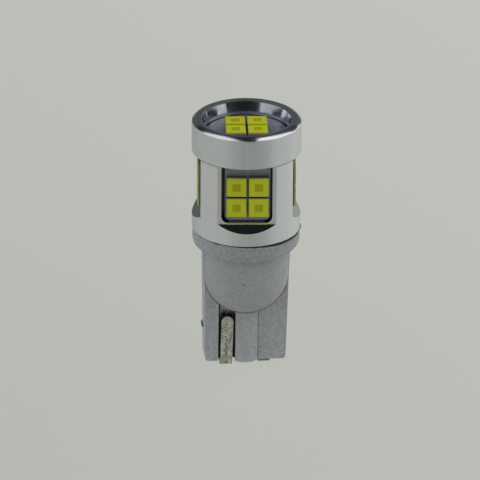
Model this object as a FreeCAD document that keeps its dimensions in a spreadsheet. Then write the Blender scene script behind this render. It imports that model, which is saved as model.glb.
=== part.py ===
import FreeCAD, Part
import math
import os
import Sketcher

# Wedge base LED bulb.
# The bulb stands on the folds of its contact wires, with its axis on Z and the origin under the axis.
# X runs along the width of the blade, and the front face looks towards -Y.
# Everything on the aluminium head is placed from the frame of the heat sink, whose origin is on the axis
# at the lower face of the head. The head was glued in slightly turned and slightly tilted.

document = FreeCAD.newDocument("wedge_base_led_bulb")

# Driving sizes in millimetres and degrees: name, value, meaning.
SIZES = [
    # Moulded base
    ("blade_length", 13.55, "blade, from its lower end to the collar"),
    ("blade_width_low", 8.95, "blade width at its lower end"),
    ("blade_width_high", 9.5, "blade width at the collar"),
    ("blade_thickness", 2.6, "blade thickness"),
    ("blade_corner", 0.35, "rounding of the two lower corners"),
    ("collar_step", 0.07, "collar inside the outside of the head"),
    ("collar_height", 2.2, "collar, up to the seat of the head"),
    ("collar_round", 1.05, "rounded lower edge of the collar"),
    ("barrel_step", 1.08, "round barrel and its domed end inside the collar"),
    ("barrel_length", 3.05, "straight part of the barrel under the collar"),
    ("edge_break", 0.08, "small broken edge at the seams"),
    ("fine_break", 0.04, "finer broken edge of the turned aluminium"),
    ("spigot_step", 1.3, "neck that enters the head, inside the collar"),
    ("spigot_height", 1.75, "neck above the seat"),
    ("barrel_wall", 1.22, "wall of the barrel around its hollow"),
    ("hollow_drop", 2.1, "tapered end of the hollow, below the barrel"),
    ("hollow_taper", 1.3, "narrowing of the hollow to its floor"),
    ("rib_width", 2.72, "centre rib where it meets the blade"),
    ("rib_rise", 0.69, "height of the rounded rib above the blade"),
    ("groove_offset", 1.15, "inner side of a wire groove from the middle, inside the foot of the rib"),
    ("groove_width", 1.9, "wire groove"),
    ("groove_depth", 0.75, "wire groove"),
    ("groove_rise", 2.45, "upper end of the groove under the dome, above the free end of the wire"),
    ("tuck_depth", 0.2, "deeper pit in the groove above the free end of the wire"),
    ("tuck_height", 0.75, "height of that pit"),
    ("stub_rise", 0.27, "moulding gate stub on the narrow side"),
    ("stub_height", 0.8, "height of the gate stub"),
    ("stub_level", 3.6, "foot of the stub above the lower end of the blade"),
    ("stub_width", 0.9, "gate stub across the blade"),
    # Contact wires
    ("strip_thickness", 0.35, "flattened part of the wire"),
    ("strip_side_gap", 0.285, "groove beside the flattened wire"),
    ("strip_gap", 0.53, "free end of the wire below the domed end"),
    ("strip_lean", 1.5, "sideways lean in degrees"),
    ("strip_spring", 2.4, "inward lean in degrees"),
    ("strip_tip_round", 0.6, "rounded free end"),
    ("strip_bend", 0.3, "outer radius of the fold"),
    ("strip_recess", 0.03, "fold behind the face of the blade"),
    ("strip_shift", 0.09, "free end towards the rib"),
    ("fold_gap", 0.2, "fold below the lower end of the blade"),
    ("wire_radius", 0.35, "round part of the wire inside the base"),
    ("wire_offset", 0.25, "wire hole behind the middle plane"),
    ("wire_clearance", 0.06, "hole around the wire"),
    # Aluminium head
    ("head_turn", -6.2, "turn of the head on the base in degrees"),
    ("head_tilt", 0.5, "tilt of the head, lifted on the +X side, in degrees"),
    ("body_radius", 5.97, "posts and ring of the heat sink"),
    ("body_height", 9.2, "ring and posts, up to the cap"),
    ("flat_depth", 0.935, "flat of each side below the round outside"),
    ("flat_level", 2.36, "foot of each flat above the seat"),
    ("ledge_slope", 41, "sloped ledge under each flat, in degrees below level"),
    ("pocket_depth", 1.185, "pocket for a side board, below its flat"),
    ("pocket_width", 5.58, "pocket for a side board"),
    ("pocket_step", 0.09, "foot of the pocket above the foot of the flat"),
    ("pocket_corner", 0.85, "round corners of the pocket"),
    ("bore_wall", 0.65, "wall between a pocket and the hollow of the head"),
    ("deck_thickness", 0.75, "closed top of the heat sink"),
    ("stud_height", 1.05, "stepped top that centres the cap"),
    ("spigot_clearance", 0.06, "head around the neck of the base"),
    ("seat_clearance", 0.1, "above the neck of the base"),
    ("wire_slot_width", 0.8, "slot in each pocket floor for its two feed wires"),
    ("wire_slot_height", 1.4, "height of that slot"),
    ("wire_slot_round", 0.36, "rounding of its ends"),
    ("wire_slot_drop", 0.75, "middle of that slot below the cap"),
    ("deck_hole_radius", 0.35, "holes for the feed wires of the top board"),
    # Reflector cap
    ("cap_overhang", 0.03, "cap beyond the heat sink"),
    ("cap_wall", 1.0, "cap around the stepped top"),
    ("cap_clearance", 0.03, "cap around the stepped top"),
    ("lip_rise", 0.3, "polished outer bevel of the lip"),
    ("lip_width", 0.63, "polished outer bevel of the lip"),
    ("lip_crest", 0.1, "level crest of the lip"),
    ("lip_fall", 0.18, "inner bevel of the lip, down to the dish wall"),
    ("lip_inside", 0.37, "inner bevel of the lip, down to the dish wall"),
    ("dish_depth", 1.2, "sloped wall of the dish, from the crest down to its foot"),
    ("dish_taper", 0.32, "foot of the sloped wall inside its upper edge"),
    ("rim_rise", 0.43, "upright rim around the top board, above the board"),
    # Boards
    ("board_thickness", 0.62, "side boards"),
    ("board_side_gap", 0.31, "gap beside a side board in its pocket"),
    ("board_gap", 0.2, "gap under a side board in its pocket"),
    ("board_corner", 0.6, "lower corners of the side boards"),
    ("board_top_gap", 0.05, "side board under the cap"),
    ("board_shift", 0.08, "front board was glued in to the right"),
    ("top_board_thickness", 0.87, "top board"),
    ("top_board_gap", 0.13, "gap around the top board"),
    ("top_board_turn", 0.9, "top board was glued in slightly turned, in degrees"),
    ("bond_thickness", 0.1, "heat conducting bond behind each board"),
    ("bond_margin", 0.25, "bond inside a side board, and around the deck holes"),
    ("bond_inset", 0.35, "ring of bond inside the edge of the top board"),
    # Light emitting diodes
    ("led_width", 2.2, "carrier of a diode"),
    ("led_body", 0.68, "carrier thickness"),
    ("phosphor_margin", 0.05, "carrier around its yellow plate"),
    ("phosphor_thickness", 0.15, "yellow plate"),
    ("led_pitch", 2.42, "from diode to diode"),
    ("led_drop", 0.28, "middle of the side diodes below the middle of their board"),
    # Driver in the hollow of the base and the head
    ("driver_thickness", 0.8, "driver board"),
    ("driver_side_gap", 0.2, "driver board inside the hollow of the head"),
    ("driver_rise", 1.0, "shoulder of the driver board above the domed end"),
    ("driver_top_gap", 0.4, "driver board below the closed top"),
    ("tail_length", 2.5, "tail between the two wires"),
    ("tail_clearance", 0.12, "tail beside each wire"),
    ("feed_radius", 0.2, "feed wires to the boards"),
    ("feed_pitch", 0.56, "between the two wires of a side board"),
    ("top_feed_pitch", 2.0, "between the two wires of the top board"),
    ("feed_gap", 0.15, "solder gap at the driver board"),
    # Components of the driver: the wide ones keep a margin to the side of the board, the lower ones have
    # their level above its shoulder and the upper ones their drop below its top
    ("rectifier_margin", 1.0, "bridge rectifier"),
    ("rectifier_height", 2.2, "bridge rectifier"),
    ("rectifier_thickness", 1.3, "bridge rectifier"),
    ("rectifier_level", 2.1, "bridge rectifier"),
    ("chip_margin", 0.8, "driver chip"),
    ("chip_height", 2.5, "driver chip"),
    ("chip_thickness", 1.4, "driver chip"),
    ("chip_drop", 6.15, "driver chip"),
    ("lead_width", 0.5, "lead of a chip"),
    ("lead_reach", 0.6, "lead beyond the chip"),
    ("lead_thickness", 0.2, "lead of a chip"),
    ("inductor_width", 3.0, "inductor"),
    ("inductor_foot_height", 0.3, "inductor"),
    ("inductor_drum_height", 1.1, "inductor"),
    ("inductor_drum_radius", 1.35, "inductor"),
    ("capacitor_margin", 1.5, "input capacitor"),
    ("capacitor_height", 1.6, "input capacitor"),
    ("capacitor_thickness", 0.9, "input capacitor"),
    ("capacitor_drop", 3.75, "input capacitor"),
    ("flyback_width", 2.6, "flyback diode"),
    ("flyback_height", 1.5, "flyback diode"),
    ("flyback_thickness", 0.9, "flyback diode"),
    ("flyback_level", 2.4, "flyback diode"),
    ("resistor_width", 2.0, "sense resistor"),
    ("resistor_height", 1.25, "sense resistor"),
    ("resistor_thickness", 0.45, "sense resistor"),
    ("resistor_drop", 2.75, "sense resistor"),
    ("end_cap_length", 0.4, "end cap of a block component"),
    ("end_cap_wall", 0.04, "end cap around its block"),
    # Working length
    ("cut_reach", 3.0, "how far the cuts of the flats run beyond the head"),
]


def make_sheet():
    """Fill the spreadsheet, one size a row, and give each value cell its alias."""
    table = document.addObject("Spreadsheet::Sheet", "Size")
    for row, (alias, value, meaning) in enumerate(SIZES, start=1):
        table.set(f"A{row}", alias)
        table.set(f"B{row}", str(value))
        table.set(f"C{row}", meaning)
        table.setAlias(f"B{row}", alias)
    document.recompute()
    return table


sheet = make_sheet()
parts = []

# Levels above the folds that the bulb stands on.
BLADE_LOW = "(Size.strip_thickness + Size.fold_gap)"
COLLAR_LOW = f"({BLADE_LOW} + Size.blade_length)"
DOME_LEVEL = f"({COLLAR_LOW} - Size.barrel_length)"
SEAT = f"({COLLAR_LOW} + Size.collar_height)"
SPIGOT_TOP = f"({SEAT} + Size.spigot_height)"

# Levels above the seat of the head.
DECK_TOP = "(Size.body_height + Size.stud_height)"
DECK_LOW = f"({DECK_TOP} - Size.deck_thickness)"
TOP_BOARD_LOW = f"({DECK_TOP} + Size.bond_thickness)"
DISH_LEVEL = f"({TOP_BOARD_LOW} + Size.top_board_thickness + Size.rim_rise)"
LIP_LEVEL = f"({DISH_LEVEL} + Size.dish_depth)"
POCKET_LOW = "(Size.flat_level + Size.pocket_step)"
BOARD_LOW = f"({POCKET_LOW} + Size.board_gap)"
BOARD_HIGH = "(Size.body_height - Size.board_top_gap)"
LED_LEVEL = f"(({BOARD_LOW} + {BOARD_HIGH}) / 2 - Size.led_drop)"
SLOT_LEVEL = "(Size.body_height - Size.wire_slot_drop)"
SLOT_LOW = f"({SLOT_LEVEL} - Size.wire_slot_height / 2)"
SLOT_HIGH = f"({SLOT_LEVEL} + Size.wire_slot_height / 2)"

# Radii and distances from the axis, each from its neighbour and a named step.
COLLAR_RADIUS = "(Size.body_radius - Size.collar_step)"
BARREL_RADIUS = f"({COLLAR_RADIUS} - Size.barrel_step)"
SPIGOT_RADIUS = f"({COLLAR_RADIUS} - Size.spigot_step)"
HOLLOW_RADIUS = f"({BARREL_RADIUS} - Size.barrel_wall)"
FLAT_DISTANCE = "(Size.body_radius - Size.flat_depth)"
FLOOR_DISTANCE = f"({FLAT_DISTANCE} - Size.pocket_depth)"
BORE_RADIUS = f"({FLOOR_DISTANCE} - Size.bore_wall)"
CAP_RADIUS = "(Size.body_radius + Size.cap_overhang)"
STUD_RADIUS = f"({CAP_RADIUS} - Size.cap_wall)"
LIP_RADIUS = f"({CAP_RADIUS} - Size.lip_width)"
WALL_RADIUS = f"({LIP_RADIUS} - Size.lip_crest - Size.lip_inside)"
RIM_RADIUS = f"({WALL_RADIUS} - Size.dish_taper)"
TOP_BOARD_RADIUS = f"({RIM_RADIUS} - Size.top_board_gap)"
BOARD_BACK = f"({FLOOR_DISTANCE} + Size.bond_thickness)"
BOARD_FACE = f"({BOARD_BACK} + Size.board_thickness)"
BOARD_HALF = "(Size.pocket_width / 2 - Size.board_side_gap)"
CLEAR_OUT = "(Size.body_radius + Size.cut_reach)"

# The hollow, the wire grooves and what lies in them.
HOLLOW_FLOOR = f"({DOME_LEVEL} - Size.hollow_drop)"
TIP_LEVEL = f"({DOME_LEVEL} - {BARREL_RADIUS} - Size.strip_gap)"
STRIP_LENGTH = f"({TIP_LEVEL} - {BLADE_LOW})"
GROOVE_TOP = f"({TIP_LEVEL} + Size.groove_rise)"
GROOVE_OUTER = "(Size.groove_offset + Size.groove_width)"
GROOVE_MIDDLE = "(Size.groove_offset + Size.groove_width / 2)"
STRIP_HALF = "(Size.groove_width / 2 - Size.strip_side_gap)"

# The driver board, above the folds.
DRIVER_SHOULDER = f"({DOME_LEVEL} + Size.driver_rise)"
DRIVER_LOW = f"({DRIVER_SHOULDER} - Size.tail_length)"
DRIVER_TOP = f"({SEAT} + {DECK_LOW} - Size.driver_top_gap)"
DRIVER_HALF = f"({BORE_RADIUS} - Size.driver_side_gap)"
DRIVER_FACE = "(Size.driver_thickness / 2)"

# The side faces of the head, by the turn that brings the front face to each.
FACES = (("front", 0), ("right", 90), ("rear", 180), ("left", 270))
UPRIGHT = "placement(vector(0; 0; 0); rotation(vector(1; 0; 0); 90))"


def plane_of(body, role):
    """Find an origin plane or axis of a body by its role."""
    for feature in body.Origin.OriginFeatures:
        if feature.Role == role:
            return feature
    raise ValueError(role)


def make_body(name):
    """Start a body and list it as a piece of the bulb."""
    body = document.addObject("PartDesign::Body", name)
    body.Label = name
    parts.append(body)
    return body


def make_sketch(body, name, role, offset=None):
    """Attach a sketch to an origin plane, moved along the plane's normal by a formula."""
    sketch = body.newObject("Sketcher::SketchObject", name)
    sketch.AttachmentSupport = [(plane_of(body, role), "")]
    sketch.MapMode = "FlatFace"
    if offset:
        sketch.setExpression("AttachmentOffset.Base.z", offset)
    document.recompute()
    return sketch


def bind_dimension(sketch, kind, value, formula, *ends):
    """Add one dimension to a sketch and bind it to its formula."""
    index = sketch.addConstraint(Sketcher.Constraint(kind, *ends, value))
    sketch.setExpression(f"Constraints[{index}]", formula)


def corner_arc(before, here, after, radius):
    """Work out where a rounded corner starts, its middle and where it ends."""
    to_before = (before - here).normalize()
    to_after = (after - here).normalize()
    half_angle = math.acos(to_before.dot(to_after)) / 2
    reach = radius / math.tan(half_angle)
    inward = (to_before + to_after).normalize()
    centre = here + inward * (radius / math.sin(half_angle))
    return here + to_before * reach, centre - inward * radius, here + to_after * reach


def draw_outline(sketch, corners):
    """Draw a closed outline through corners given as formulas: across, up and, if rounded, a radius."""
    places = []
    for corner in corners:
        across = sketch.evalExpression(corner[0])
        up = sketch.evalExpression(corner[1])
        places.append(FreeCAD.Vector(across, up, 0))
    count = len(corners)
    line_start = list(places)
    line_end = [places[(index + 1) % count] for index in range(count)]
    arcs = {}
    for index, corner in enumerate(corners):
        if len(corner) > 2:
            radius = sketch.evalExpression(corner[2])
            arc = corner_arc(places[index - 1], places[index], places[(index + 1) % count], radius)
            arcs[index] = (arc, radius)
            line_end[index - 1] = arc[0]
            line_start[index] = arc[2]
    lines = [sketch.addGeometry(Part.LineSegment(*ends)) for ends in zip(line_start, line_end)]
    for index, corner in enumerate(corners):
        before = lines[index - 1]
        after = lines[index]
        if index in arcs:
            held = round_corner(sketch, before, after, places[index], *arcs[index], corner[2])
        else:
            sketch.addConstraint(Sketcher.Constraint("Coincident", before, 2, after, 1))
            held = after
        bind_dimension(sketch, "DistanceX", places[index].x, corner[0], -1, 1, held, 1)
        bind_dimension(sketch, "DistanceY", places[index].y, corner[1], -1, 1, held, 1)


def round_corner(sketch, before, after, place, arc_points, radius, formula):
    """Join two lines of a sketch by a tangent arc and return the point that marks their corner."""
    arc = sketch.addGeometry(Part.Arc(*arc_points))
    starts_first = (sketch.getPoint(arc, 1) - arc_points[0]).Length < radius / 1000
    first, second = (1, 2) if starts_first else (2, 1)
    sketch.addConstraint(Sketcher.Constraint("Tangent", before, 2, arc, first))
    sketch.addConstraint(Sketcher.Constraint("Tangent", arc, second, after, 1))
    bind_dimension(sketch, "Radius", radius, formula, arc)
    mark = sketch.addGeometry(Part.Point(place), True)
    sketch.addConstraint(Sketcher.Constraint("PointOnObject", mark, 1, before))
    sketch.addConstraint(Sketcher.Constraint("PointOnObject", mark, 1, after))
    return mark


def draw_circle(sketch, across, up, radius):
    """Draw a circle whose centre and radius are formulas."""
    centre = FreeCAD.Vector(sketch.evalExpression(across), sketch.evalExpression(up), 0)
    size = sketch.evalExpression(radius)
    circle = sketch.addGeometry(Part.Circle(centre, FreeCAD.Vector(0, 0, 1), size))
    bind_dimension(sketch, "Radius", size, radius, circle)
    bind_dimension(sketch, "DistanceX", centre.x, across, -1, 1, circle, 3)
    bind_dimension(sketch, "DistanceY", centre.y, up, -1, 1, circle, 3)


def turn_section(body, name, corners, kind):
    """Turn a half section, drawn as radius and height, about the axis."""
    sketch = make_sketch(body, name + "_section", "XZ_Plane")
    draw_outline(sketch, corners)
    turned = body.newObject(kind, name)
    turned.Profile = sketch
    turned.ReferenceAxis = (sketch, ["V_Axis"])
    turned.Angle = 360
    document.recompute()
    return turned


def add_turned(body, name, corners):
    """Add a turned solid to the body."""
    return turn_section(body, name, corners, "PartDesign::Revolution")


def cut_turned(body, name, corners):
    """Cut a turned solid out of the body and check that material went away."""
    before = body.Shape.Volume
    turned = turn_section(body, name, corners, "PartDesign::Groove")
    if turned.Shape.Volume >= before:
        raise ValueError(name + " cuts nothing")
    return turned


def add_pad(body, sketch, name, length, midplane=False, reverse=False):
    """Pad a sketch and check that material was added."""
    before = body.Shape.Volume if body.Tip else 0
    pad = body.newObject("PartDesign::Pad", name)
    pad.Profile = sketch
    pad.setExpression("Length", length)
    pad.Midplane = midplane
    pad.Reversed = reverse
    document.recompute()
    if pad.Shape.Volume <= before:
        raise ValueError(name + " adds nothing")
    return pad


def add_pocket(body, sketch, name, length, midplane=False, reverse=False):
    """Cut a sketch out of the body and check that material went away."""
    before = body.Shape.Volume
    pocket = body.newObject("PartDesign::Pocket", name)
    pocket.Profile = sketch
    pocket.setExpression("Length", length)
    pocket.Midplane = midplane
    pocket.Reversed = reverse
    document.recompute()
    if pocket.Shape.Volume >= before:
        raise ValueError(name + " cuts nothing")
    return pocket


def repeat_round(body, name, features, count):
    """Repeat features evenly about the axis."""
    pattern = body.newObject("PartDesign::PolarPattern", name)
    pattern.Originals = features
    pattern.Axis = (plane_of(body, "Z_Axis"), [""])
    pattern.Angle = 360
    pattern.Occurrences = count
    body.Tip = pattern
    document.recompute()
    return pattern


def turn_about_axis(degrees):
    """Write a turn about Z as a formula."""
    return f"placement(vector(0; 0; 0); rotation(vector(0; 0; 1); {degrees}))"


def move_by(across, deep, up):
    """Write a move as a formula."""
    return f"placement(vector({across}; {deep}; {up}); rotation(vector(0; 0; 1); 0))"


def finish_piece(piece, name):
    """Label a boolean result and list it as a piece of the bulb."""
    piece.Label = name
    parts.append(piece)
    return piece


def make_box(name, width, depth, height, across="0", deep="0", up="0"):
    """Make a box centred across and in depth, standing on its level, from formulas."""
    box = document.addObject("Part::Box", name)
    box.setExpression("Length", width)
    box.setExpression("Width", depth)
    box.setExpression("Height", height)
    box.setExpression("Placement", move_by(f"{across} - ({width}) / 2", f"{deep} - ({depth}) / 2", up))
    return box


def make_cylinder(name, radius, height, across="0", deep="0", up="0"):
    """Make an upright cylinder from formulas."""
    cylinder = document.addObject("Part::Cylinder", name)
    cylinder.setExpression("Radius", radius)
    cylinder.setExpression("Height", height)
    cylinder.setExpression("Placement", move_by(across, deep, up))
    return cylinder


def fuse_shapes(name, shapes):
    """Join shapes into one solid."""
    fused = document.addObject("Part::MultiFuse", name)
    fused.Shapes = shapes
    return fused


def make_wedge_base():
    """Collar, barrel with a domed end, blade with rib and grooves, and the hollow for the driver."""
    body = make_body("wedge_base")
    blade = make_sketch(body, "blade_outline", "XZ_Plane")
    draw_outline(blade, [
        ("-Size.blade_width_low / 2", BLADE_LOW, "Size.blade_corner"),
        ("Size.blade_width_low / 2", BLADE_LOW, "Size.blade_corner"),
        ("Size.blade_width_high / 2", COLLAR_LOW),
        ("-Size.blade_width_high / 2", COLLAR_LOW),
    ])
    add_pad(body, blade, "blade", "Size.blade_thickness", midplane=True)

    # The rib is the part of a round bar that stands out of each blade face.
    bar_radius = "((Size.rib_width ^ 2 / 4 + Size.rib_rise ^ 2) / (2 * Size.rib_rise))"
    bar = make_sketch(body, "rib_section", "XY_Plane", BLADE_LOW)
    bar_depth = f"-(Size.blade_thickness / 2 + Size.rib_rise - {bar_radius})"
    draw_circle(bar, "0", bar_depth, bar_radius)
    rib = add_pad(body, bar, "rib", "Size.blade_length - Size.barrel_length")
    repeat_round(body, "ribs", [rib], 2)

    stub = make_sketch(body, "gate_stub_outline", "XZ_Plane")
    stub_low = BLADE_LOW + " + Size.stub_level"
    narrow_side = "Size.blade_width_low / 2"
    draw_outline(stub, [
        (f"-{narrow_side} + Size.stub_rise", stub_low),
        (f"-{narrow_side} + Size.stub_rise", f"{stub_low} + Size.stub_height"),
        (f"-{narrow_side} - Size.stub_rise", f"{stub_low} + Size.stub_height / 2"),
        (f"-{narrow_side} - Size.stub_rise", stub_low),
    ])
    add_pad(body, stub, "gate_stub", "Size.stub_width", reverse=True)

    groove = make_sketch(body, "groove_outline", "XZ_Plane", "Size.blade_thickness / 2 - Size.groove_depth")
    draw_outline(groove, [
        ("-" + GROOVE_OUTER, "0"),
        ("-Size.groove_offset", "0"),
        ("-Size.groove_offset", GROOVE_TOP),
        ("-" + GROOVE_OUTER, GROOVE_TOP),
    ])
    groove_cut = add_pocket(body, groove, "wire_groove", "Size.groove_depth + Size.rib_rise", reverse=True)
    pit = make_sketch(body, "tuck_pit_outline", "XZ_Plane", "Size.blade_thickness / 2 - Size.groove_depth")
    draw_outline(pit, [
        (f"-{GROOVE_MIDDLE} - {STRIP_HALF}", TIP_LEVEL),
        (f"-{GROOVE_MIDDLE} + {STRIP_HALF}", TIP_LEVEL),
        (f"-{GROOVE_MIDDLE} + {STRIP_HALF}", TIP_LEVEL + " + Size.tuck_height"),
        (f"-{GROOVE_MIDDLE} - {STRIP_HALF}", TIP_LEVEL + " + Size.tuck_height"),
    ])
    pit_cut = add_pocket(body, pit, "tuck_pit", "Size.tuck_depth")
    repeat_round(body, "wire_grooves", [groove_cut, pit_cut], 2)

    # The barrel and its dome close the upper ends of the grooves.
    add_turned(body, "collar_and_barrel", [
        ("0", DOME_LEVEL),
        (BARREL_RADIUS, DOME_LEVEL),
        (BARREL_RADIUS, COLLAR_LOW),
        (COLLAR_RADIUS, COLLAR_LOW, "Size.collar_round"),
        (COLLAR_RADIUS, SEAT + " - Size.edge_break"),
        (COLLAR_RADIUS + " - Size.edge_break", SEAT),
        (SPIGOT_RADIUS, SEAT),
        (SPIGOT_RADIUS, SPIGOT_TOP + " - Size.edge_break"),
        (SPIGOT_RADIUS + " - Size.edge_break", SPIGOT_TOP),
        ("0", SPIGOT_TOP),
    ])
    dome = body.newObject("PartDesign::AdditiveSphere", "domed_end")
    dome.setExpression("Radius", BARREL_RADIUS)
    dome.setExpression("Placement.Base.z", DOME_LEVEL)
    document.recompute()

    cut_turned(body, "hollow", [
        ("0", HOLLOW_FLOOR),
        (HOLLOW_RADIUS + " - Size.hollow_taper", HOLLOW_FLOOR),
        (HOLLOW_RADIUS, DOME_LEVEL),
        (HOLLOW_RADIUS, SPIGOT_TOP),
        ("0", SPIGOT_TOP),
    ])
    hole = make_sketch(body, "wire_hole_outline", "XY_Plane")
    draw_circle(hole, "-" + GROOVE_MIDDLE, "Size.wire_offset", "Size.wire_radius + Size.wire_clearance")
    hole_cut = add_pocket(body, hole, "wire_hole", DOME_LEVEL, reverse=True)
    repeat_round(body, "wire_holes", [hole_cut], 2)


def make_contact(name, degrees):
    """Wire that comes down through the blade, folds under it and lies flattened in its groove."""
    middle = GROOVE_MIDDLE
    outer_face = "(-Size.blade_thickness / 2 + Size.strip_recess)"
    spring = f"{STRIP_LENGTH} * tan(Size.strip_spring)"
    rear_edge = "(Size.wire_offset + Size.wire_radius)"
    side = document.addObject("Sketcher::SketchObject", name + "_side")
    side.Placement = FreeCAD.Placement(
        FreeCAD.Vector(0, 0, 0), FreeCAD.Rotation(FreeCAD.Vector(1, 1, 1), 120))
    draw_outline(side, [
        (rear_edge, "0"),
        (outer_face, "0", "Size.strip_bend"),
        (f"{outer_face} + {spring}", TIP_LEVEL),
        (f"{outer_face} + {spring} + Size.strip_thickness", TIP_LEVEL),
        (f"{outer_face} + Size.strip_thickness", "Size.strip_thickness"),
        (rear_edge, "Size.strip_thickness"),
    ])
    side_solid = document.addObject("Part::Extrusion", name + "_side_solid")
    side_solid.Base = side
    side_solid.Dir = FreeCAD.Vector(1, 0, 0)
    side_solid.Solid = True
    side_solid.setExpression("LengthRev", "Size.blade_width_low")

    half = STRIP_HALF
    tip = f"-{middle} + Size.strip_shift"
    lean = f"{STRIP_LENGTH} * tan(Size.strip_lean)"
    front = document.addObject("Sketcher::SketchObject", name + "_front")
    front.Placement = FreeCAD.Placement(
        FreeCAD.Vector(0, 0, 0), FreeCAD.Rotation(FreeCAD.Vector(1, 0, 0), 90))
    draw_outline(front, [
        (f"{tip} - {lean} - {half}", "0"),
        (f"{tip} - {lean} + {half}", "0"),
        (f"{tip} + {half}", TIP_LEVEL, "Size.strip_tip_round"),
        (f"{tip} - {half}", TIP_LEVEL, "Size.strip_tip_round"),
    ])
    front_solid = document.addObject("Part::Extrusion", name + "_front_solid")
    front_solid.Base = front
    front_solid.Dir = FreeCAD.Vector(0, -1, 0)
    front_solid.Solid = True
    front_solid.Symmetric = True
    front_solid.setExpression("LengthFwd", "Size.blade_thickness * 2")

    strip = document.addObject("Part::MultiCommon", name + "_strip")
    strip.Shapes = [side_solid, front_solid]
    wire_length = f"{DRIVER_SHOULDER} - Size.strip_thickness - Size.feed_gap"
    wire = make_cylinder(
        name + "_wire", "Size.wire_radius", wire_length,
        "-" + middle, "Size.wire_offset", "Size.strip_thickness / 2")
    contact = finish_piece(fuse_shapes(name, [strip, wire]), name)
    contact.setExpression("Placement", turn_about_axis(degrees))


def make_heat_sink():
    """Turned body with four flats over sloped ledges, four pockets and the stepped top for the cap."""
    body = make_body("heat_sink")
    lift = "placement(vector(-Size.body_radius; 0; " + SEAT + "); rotation(vector(0; 1; 0); -Size.head_tilt))"
    turn = "placement(vector(Size.body_radius; 0; 0); rotation(vector(0; 0; 1); Size.head_turn))"
    body.setExpression("Placement", f"{lift} * {turn}")
    counterbore = f"({SPIGOT_RADIUS} + Size.spigot_clearance)"
    counterbore_top = "(Size.spigot_height + Size.seat_clearance)"
    add_turned(body, "turned_body", [
        (counterbore, "0"),
        ("Size.body_radius - Size.edge_break", "0"),
        ("Size.body_radius", "Size.edge_break"),
        ("Size.body_radius", "Size.body_height - Size.fine_break"),
        ("Size.body_radius - Size.fine_break", "Size.body_height"),
        (STUD_RADIUS, "Size.body_height"),
        (STUD_RADIUS, DECK_TOP),
        ("0", DECK_TOP),
        ("0", DECK_LOW),
        (BORE_RADIUS, DECK_LOW),
        (BORE_RADIUS, counterbore_top),
        (counterbore, counterbore_top),
    ])

    flat = make_sketch(body, "flat_side", "YZ_Plane")
    draw_outline(flat, [
        ("-" + FLAT_DISTANCE, "Size.flat_level"),
        ("-" + FLAT_DISTANCE, DECK_TOP),
        ("-" + CLEAR_OUT, DECK_TOP),
        ("-" + CLEAR_OUT, f"Size.flat_level - ({CLEAR_OUT} - {FLAT_DISTANCE}) * tan(Size.ledge_slope)"),
    ])
    flat_cut = add_pocket(body, flat, "flat", "2 * " + CLEAR_OUT, midplane=True)

    pocket = make_sketch(body, "pocket_outline", "XZ_Plane", FLOOR_DISTANCE)
    draw_outline(pocket, [
        ("-Size.pocket_width / 2", POCKET_LOW, "Size.pocket_corner"),
        ("Size.pocket_width / 2", POCKET_LOW, "Size.pocket_corner"),
        ("Size.pocket_width / 2", DECK_TOP + " + Size.deck_thickness"),
        ("-Size.pocket_width / 2", DECK_TOP + " + Size.deck_thickness"),
    ])
    pocket_cut = add_pocket(body, pocket, "pocket", CLEAR_OUT, reverse=True)

    slot = make_sketch(body, "wire_slot_outline", "XZ_Plane", FLOOR_DISTANCE)
    draw_outline(slot, [
        ("-Size.wire_slot_width / 2", SLOT_LOW, "Size.wire_slot_round"),
        ("Size.wire_slot_width / 2", SLOT_LOW, "Size.wire_slot_round"),
        ("Size.wire_slot_width / 2", SLOT_HIGH, "Size.wire_slot_round"),
        ("-Size.wire_slot_width / 2", SLOT_HIGH, "Size.wire_slot_round"),
    ])
    slot_cut = add_pocket(body, slot, "wire_slot", "Size.bore_wall + Size.wire_slot_width / 2")
    repeat_round(body, "sides", [flat_cut, pocket_cut, slot_cut], len(FACES))

    holes = make_sketch(body, "deck_hole_outline", "XY_Plane", DECK_TOP)
    draw_circle(holes, "Size.top_feed_pitch / 2", "0", "Size.deck_hole_radius")
    draw_circle(holes, "-Size.top_feed_pitch / 2", "0", "Size.deck_hole_radius")
    add_pocket(body, holes, "deck_holes", "Size.deck_thickness + Size.edge_break")


def make_reflector_cap():
    """Turned cap with a lip bevelled on both sides, a sloped dish wall and an upright rim around the board."""
    body = make_body("reflector_cap")
    body.setExpression("Placement", "heat_sink.Placement")
    bore = f"({STUD_RADIUS} + Size.cap_clearance)"
    outer_edge = f"({LIP_LEVEL} - Size.lip_rise)"
    add_turned(body, "turned_cap", [
        (bore, "Size.body_height"),
        (CAP_RADIUS + " - Size.fine_break", "Size.body_height"),
        (CAP_RADIUS, "Size.body_height + Size.fine_break"),
        (CAP_RADIUS, outer_edge + " - Size.fine_break"),
        (CAP_RADIUS + " - Size.fine_break", outer_edge),
        (LIP_RADIUS, LIP_LEVEL),
        (LIP_RADIUS + " - Size.lip_crest", LIP_LEVEL),
        (WALL_RADIUS, LIP_LEVEL + " - Size.lip_fall"),
        (RIM_RADIUS, DISH_LEVEL),
        (RIM_RADIUS, TOP_BOARD_LOW),
        (bore, TOP_BOARD_LOW),
    ])


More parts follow.
